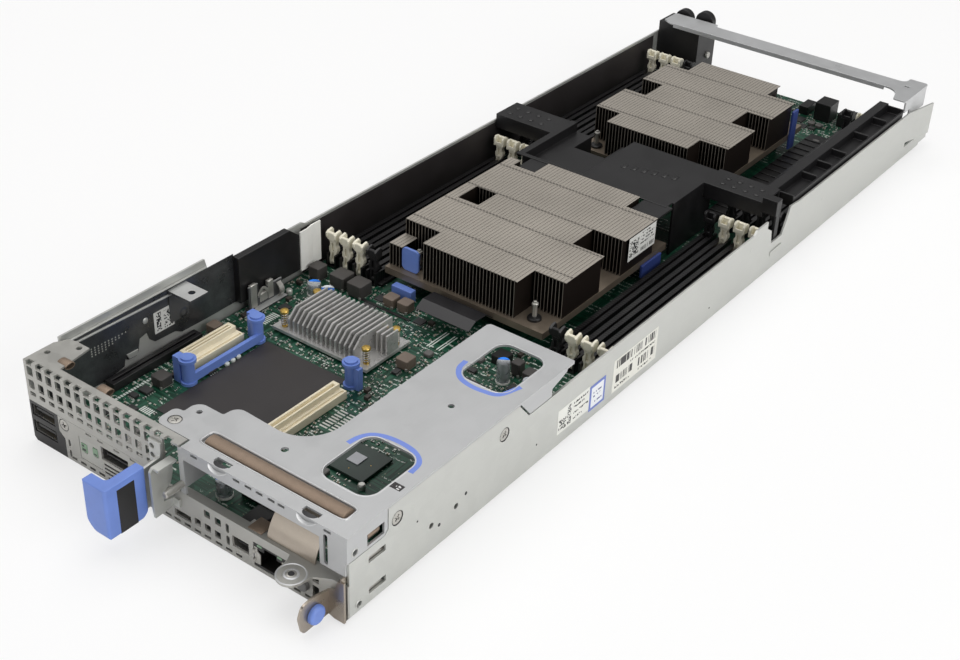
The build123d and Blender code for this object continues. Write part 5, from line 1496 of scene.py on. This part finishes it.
class SLED_OT_far_end(bpy.types.Operator):
    """Embossed dots, steps and a rib on the shroud, and the bolt in the end block"""

    bl_idname = "sled.far_end"
    bl_label = "Shroud and far end details"

    def execute(self, context):
        surface = Surface()
        spots = [(-80.0 + 7.0 * k, 327.5 + 7.5 * j, 36.5) for k in range(4) for j in range(2)]
        spots += [(52.0 + 6.5 * k, 331.5 + 6.5 * j, 36.5) for k in range(4) for j in range(2)]
        surface.turned(spots, [(0.2, -0.05), (1.5, -0.05), (1.5, 0.15), (1.15, 0.35), (0.2, 0.4)], sides=18)
        surface.row((2.0, 312.0, 36.45), (5.4, 1.2, 0.0), 6, (2.6, 4.6, 0.22), 0.08)
        surface.outline([(-48.6, 289.6), (43.0, 289.6), (43.0, 290.6), (-48.6, 290.6)], 36.4, 36.75, 0.12)
        make("shroud_dots", surface, "black_plastic", "air_shroud", smooth=50)

        head = [(0.2, -0.2), (2.2, -0.2), (2.2, 0.9), (1.9, 1.3), (0.9, 1.4), (0.2, 1.1)]
        surface = Surface().turned((-57.0, 509.0, 20.0), head, axis=0, sides=24)
        make("block_bolt", surface, "bright_steel", smooth=40)
        return {"FINISHED"}


class SLED_PT_panel(bpy.types.Panel):
    """Lists the sled's steps in the sidebar"""

    bl_idname = "SLED_PT_panel"
    bl_label = "Server Sled"
    bl_space_type = "VIEW_3D"
    bl_region_type = "UI"
    bl_category = "Server Sled"

    def draw(self, context):
        column = self.layout.column()
        for name in SledFinish.__annotations__:
            column.prop(context.scene.sled_finish, name)
        for name in SledSizes.__annotations__:
            column.prop(context.scene.sled_sizes, name)
        for step in STEPS:
            column.operator(step.bl_idname, text=step.bl_label)


STEPS = (
    SLED_OT_stage,
    SLED_OT_frame,
    SLED_OT_latches,
    SLED_OT_coolers,
    SLED_OT_board_parts,
    SLED_OT_cover_details,
    SLED_OT_walls,
    SLED_OT_front,
    SLED_OT_far_end,
)
CLASSES = (SledFinish, SledSizes, *STEPS, SLED_PT_panel)


def register():
    for item in CLASSES:
        bpy.utils.register_class(item)
    bpy.types.Scene.sled_finish = PointerProperty(type=SledFinish)
    bpy.types.Scene.sled_sizes = PointerProperty(type=SledSizes)


def unregister():
    del bpy.types.Scene.sled_finish
    del bpy.types.Scene.sled_sizes
    for item in reversed(CLASSES):
        bpy.utils.unregister_class(item)


def main():
    """Runs every step in order."""
    register()
    for step in STEPS:
        group, name = step.bl_idname.split(".")
        getattr(getattr(bpy.ops, group), name)()
    bpy.context.view_layer.update()
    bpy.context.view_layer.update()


if __name__ == "__main__":
    main()
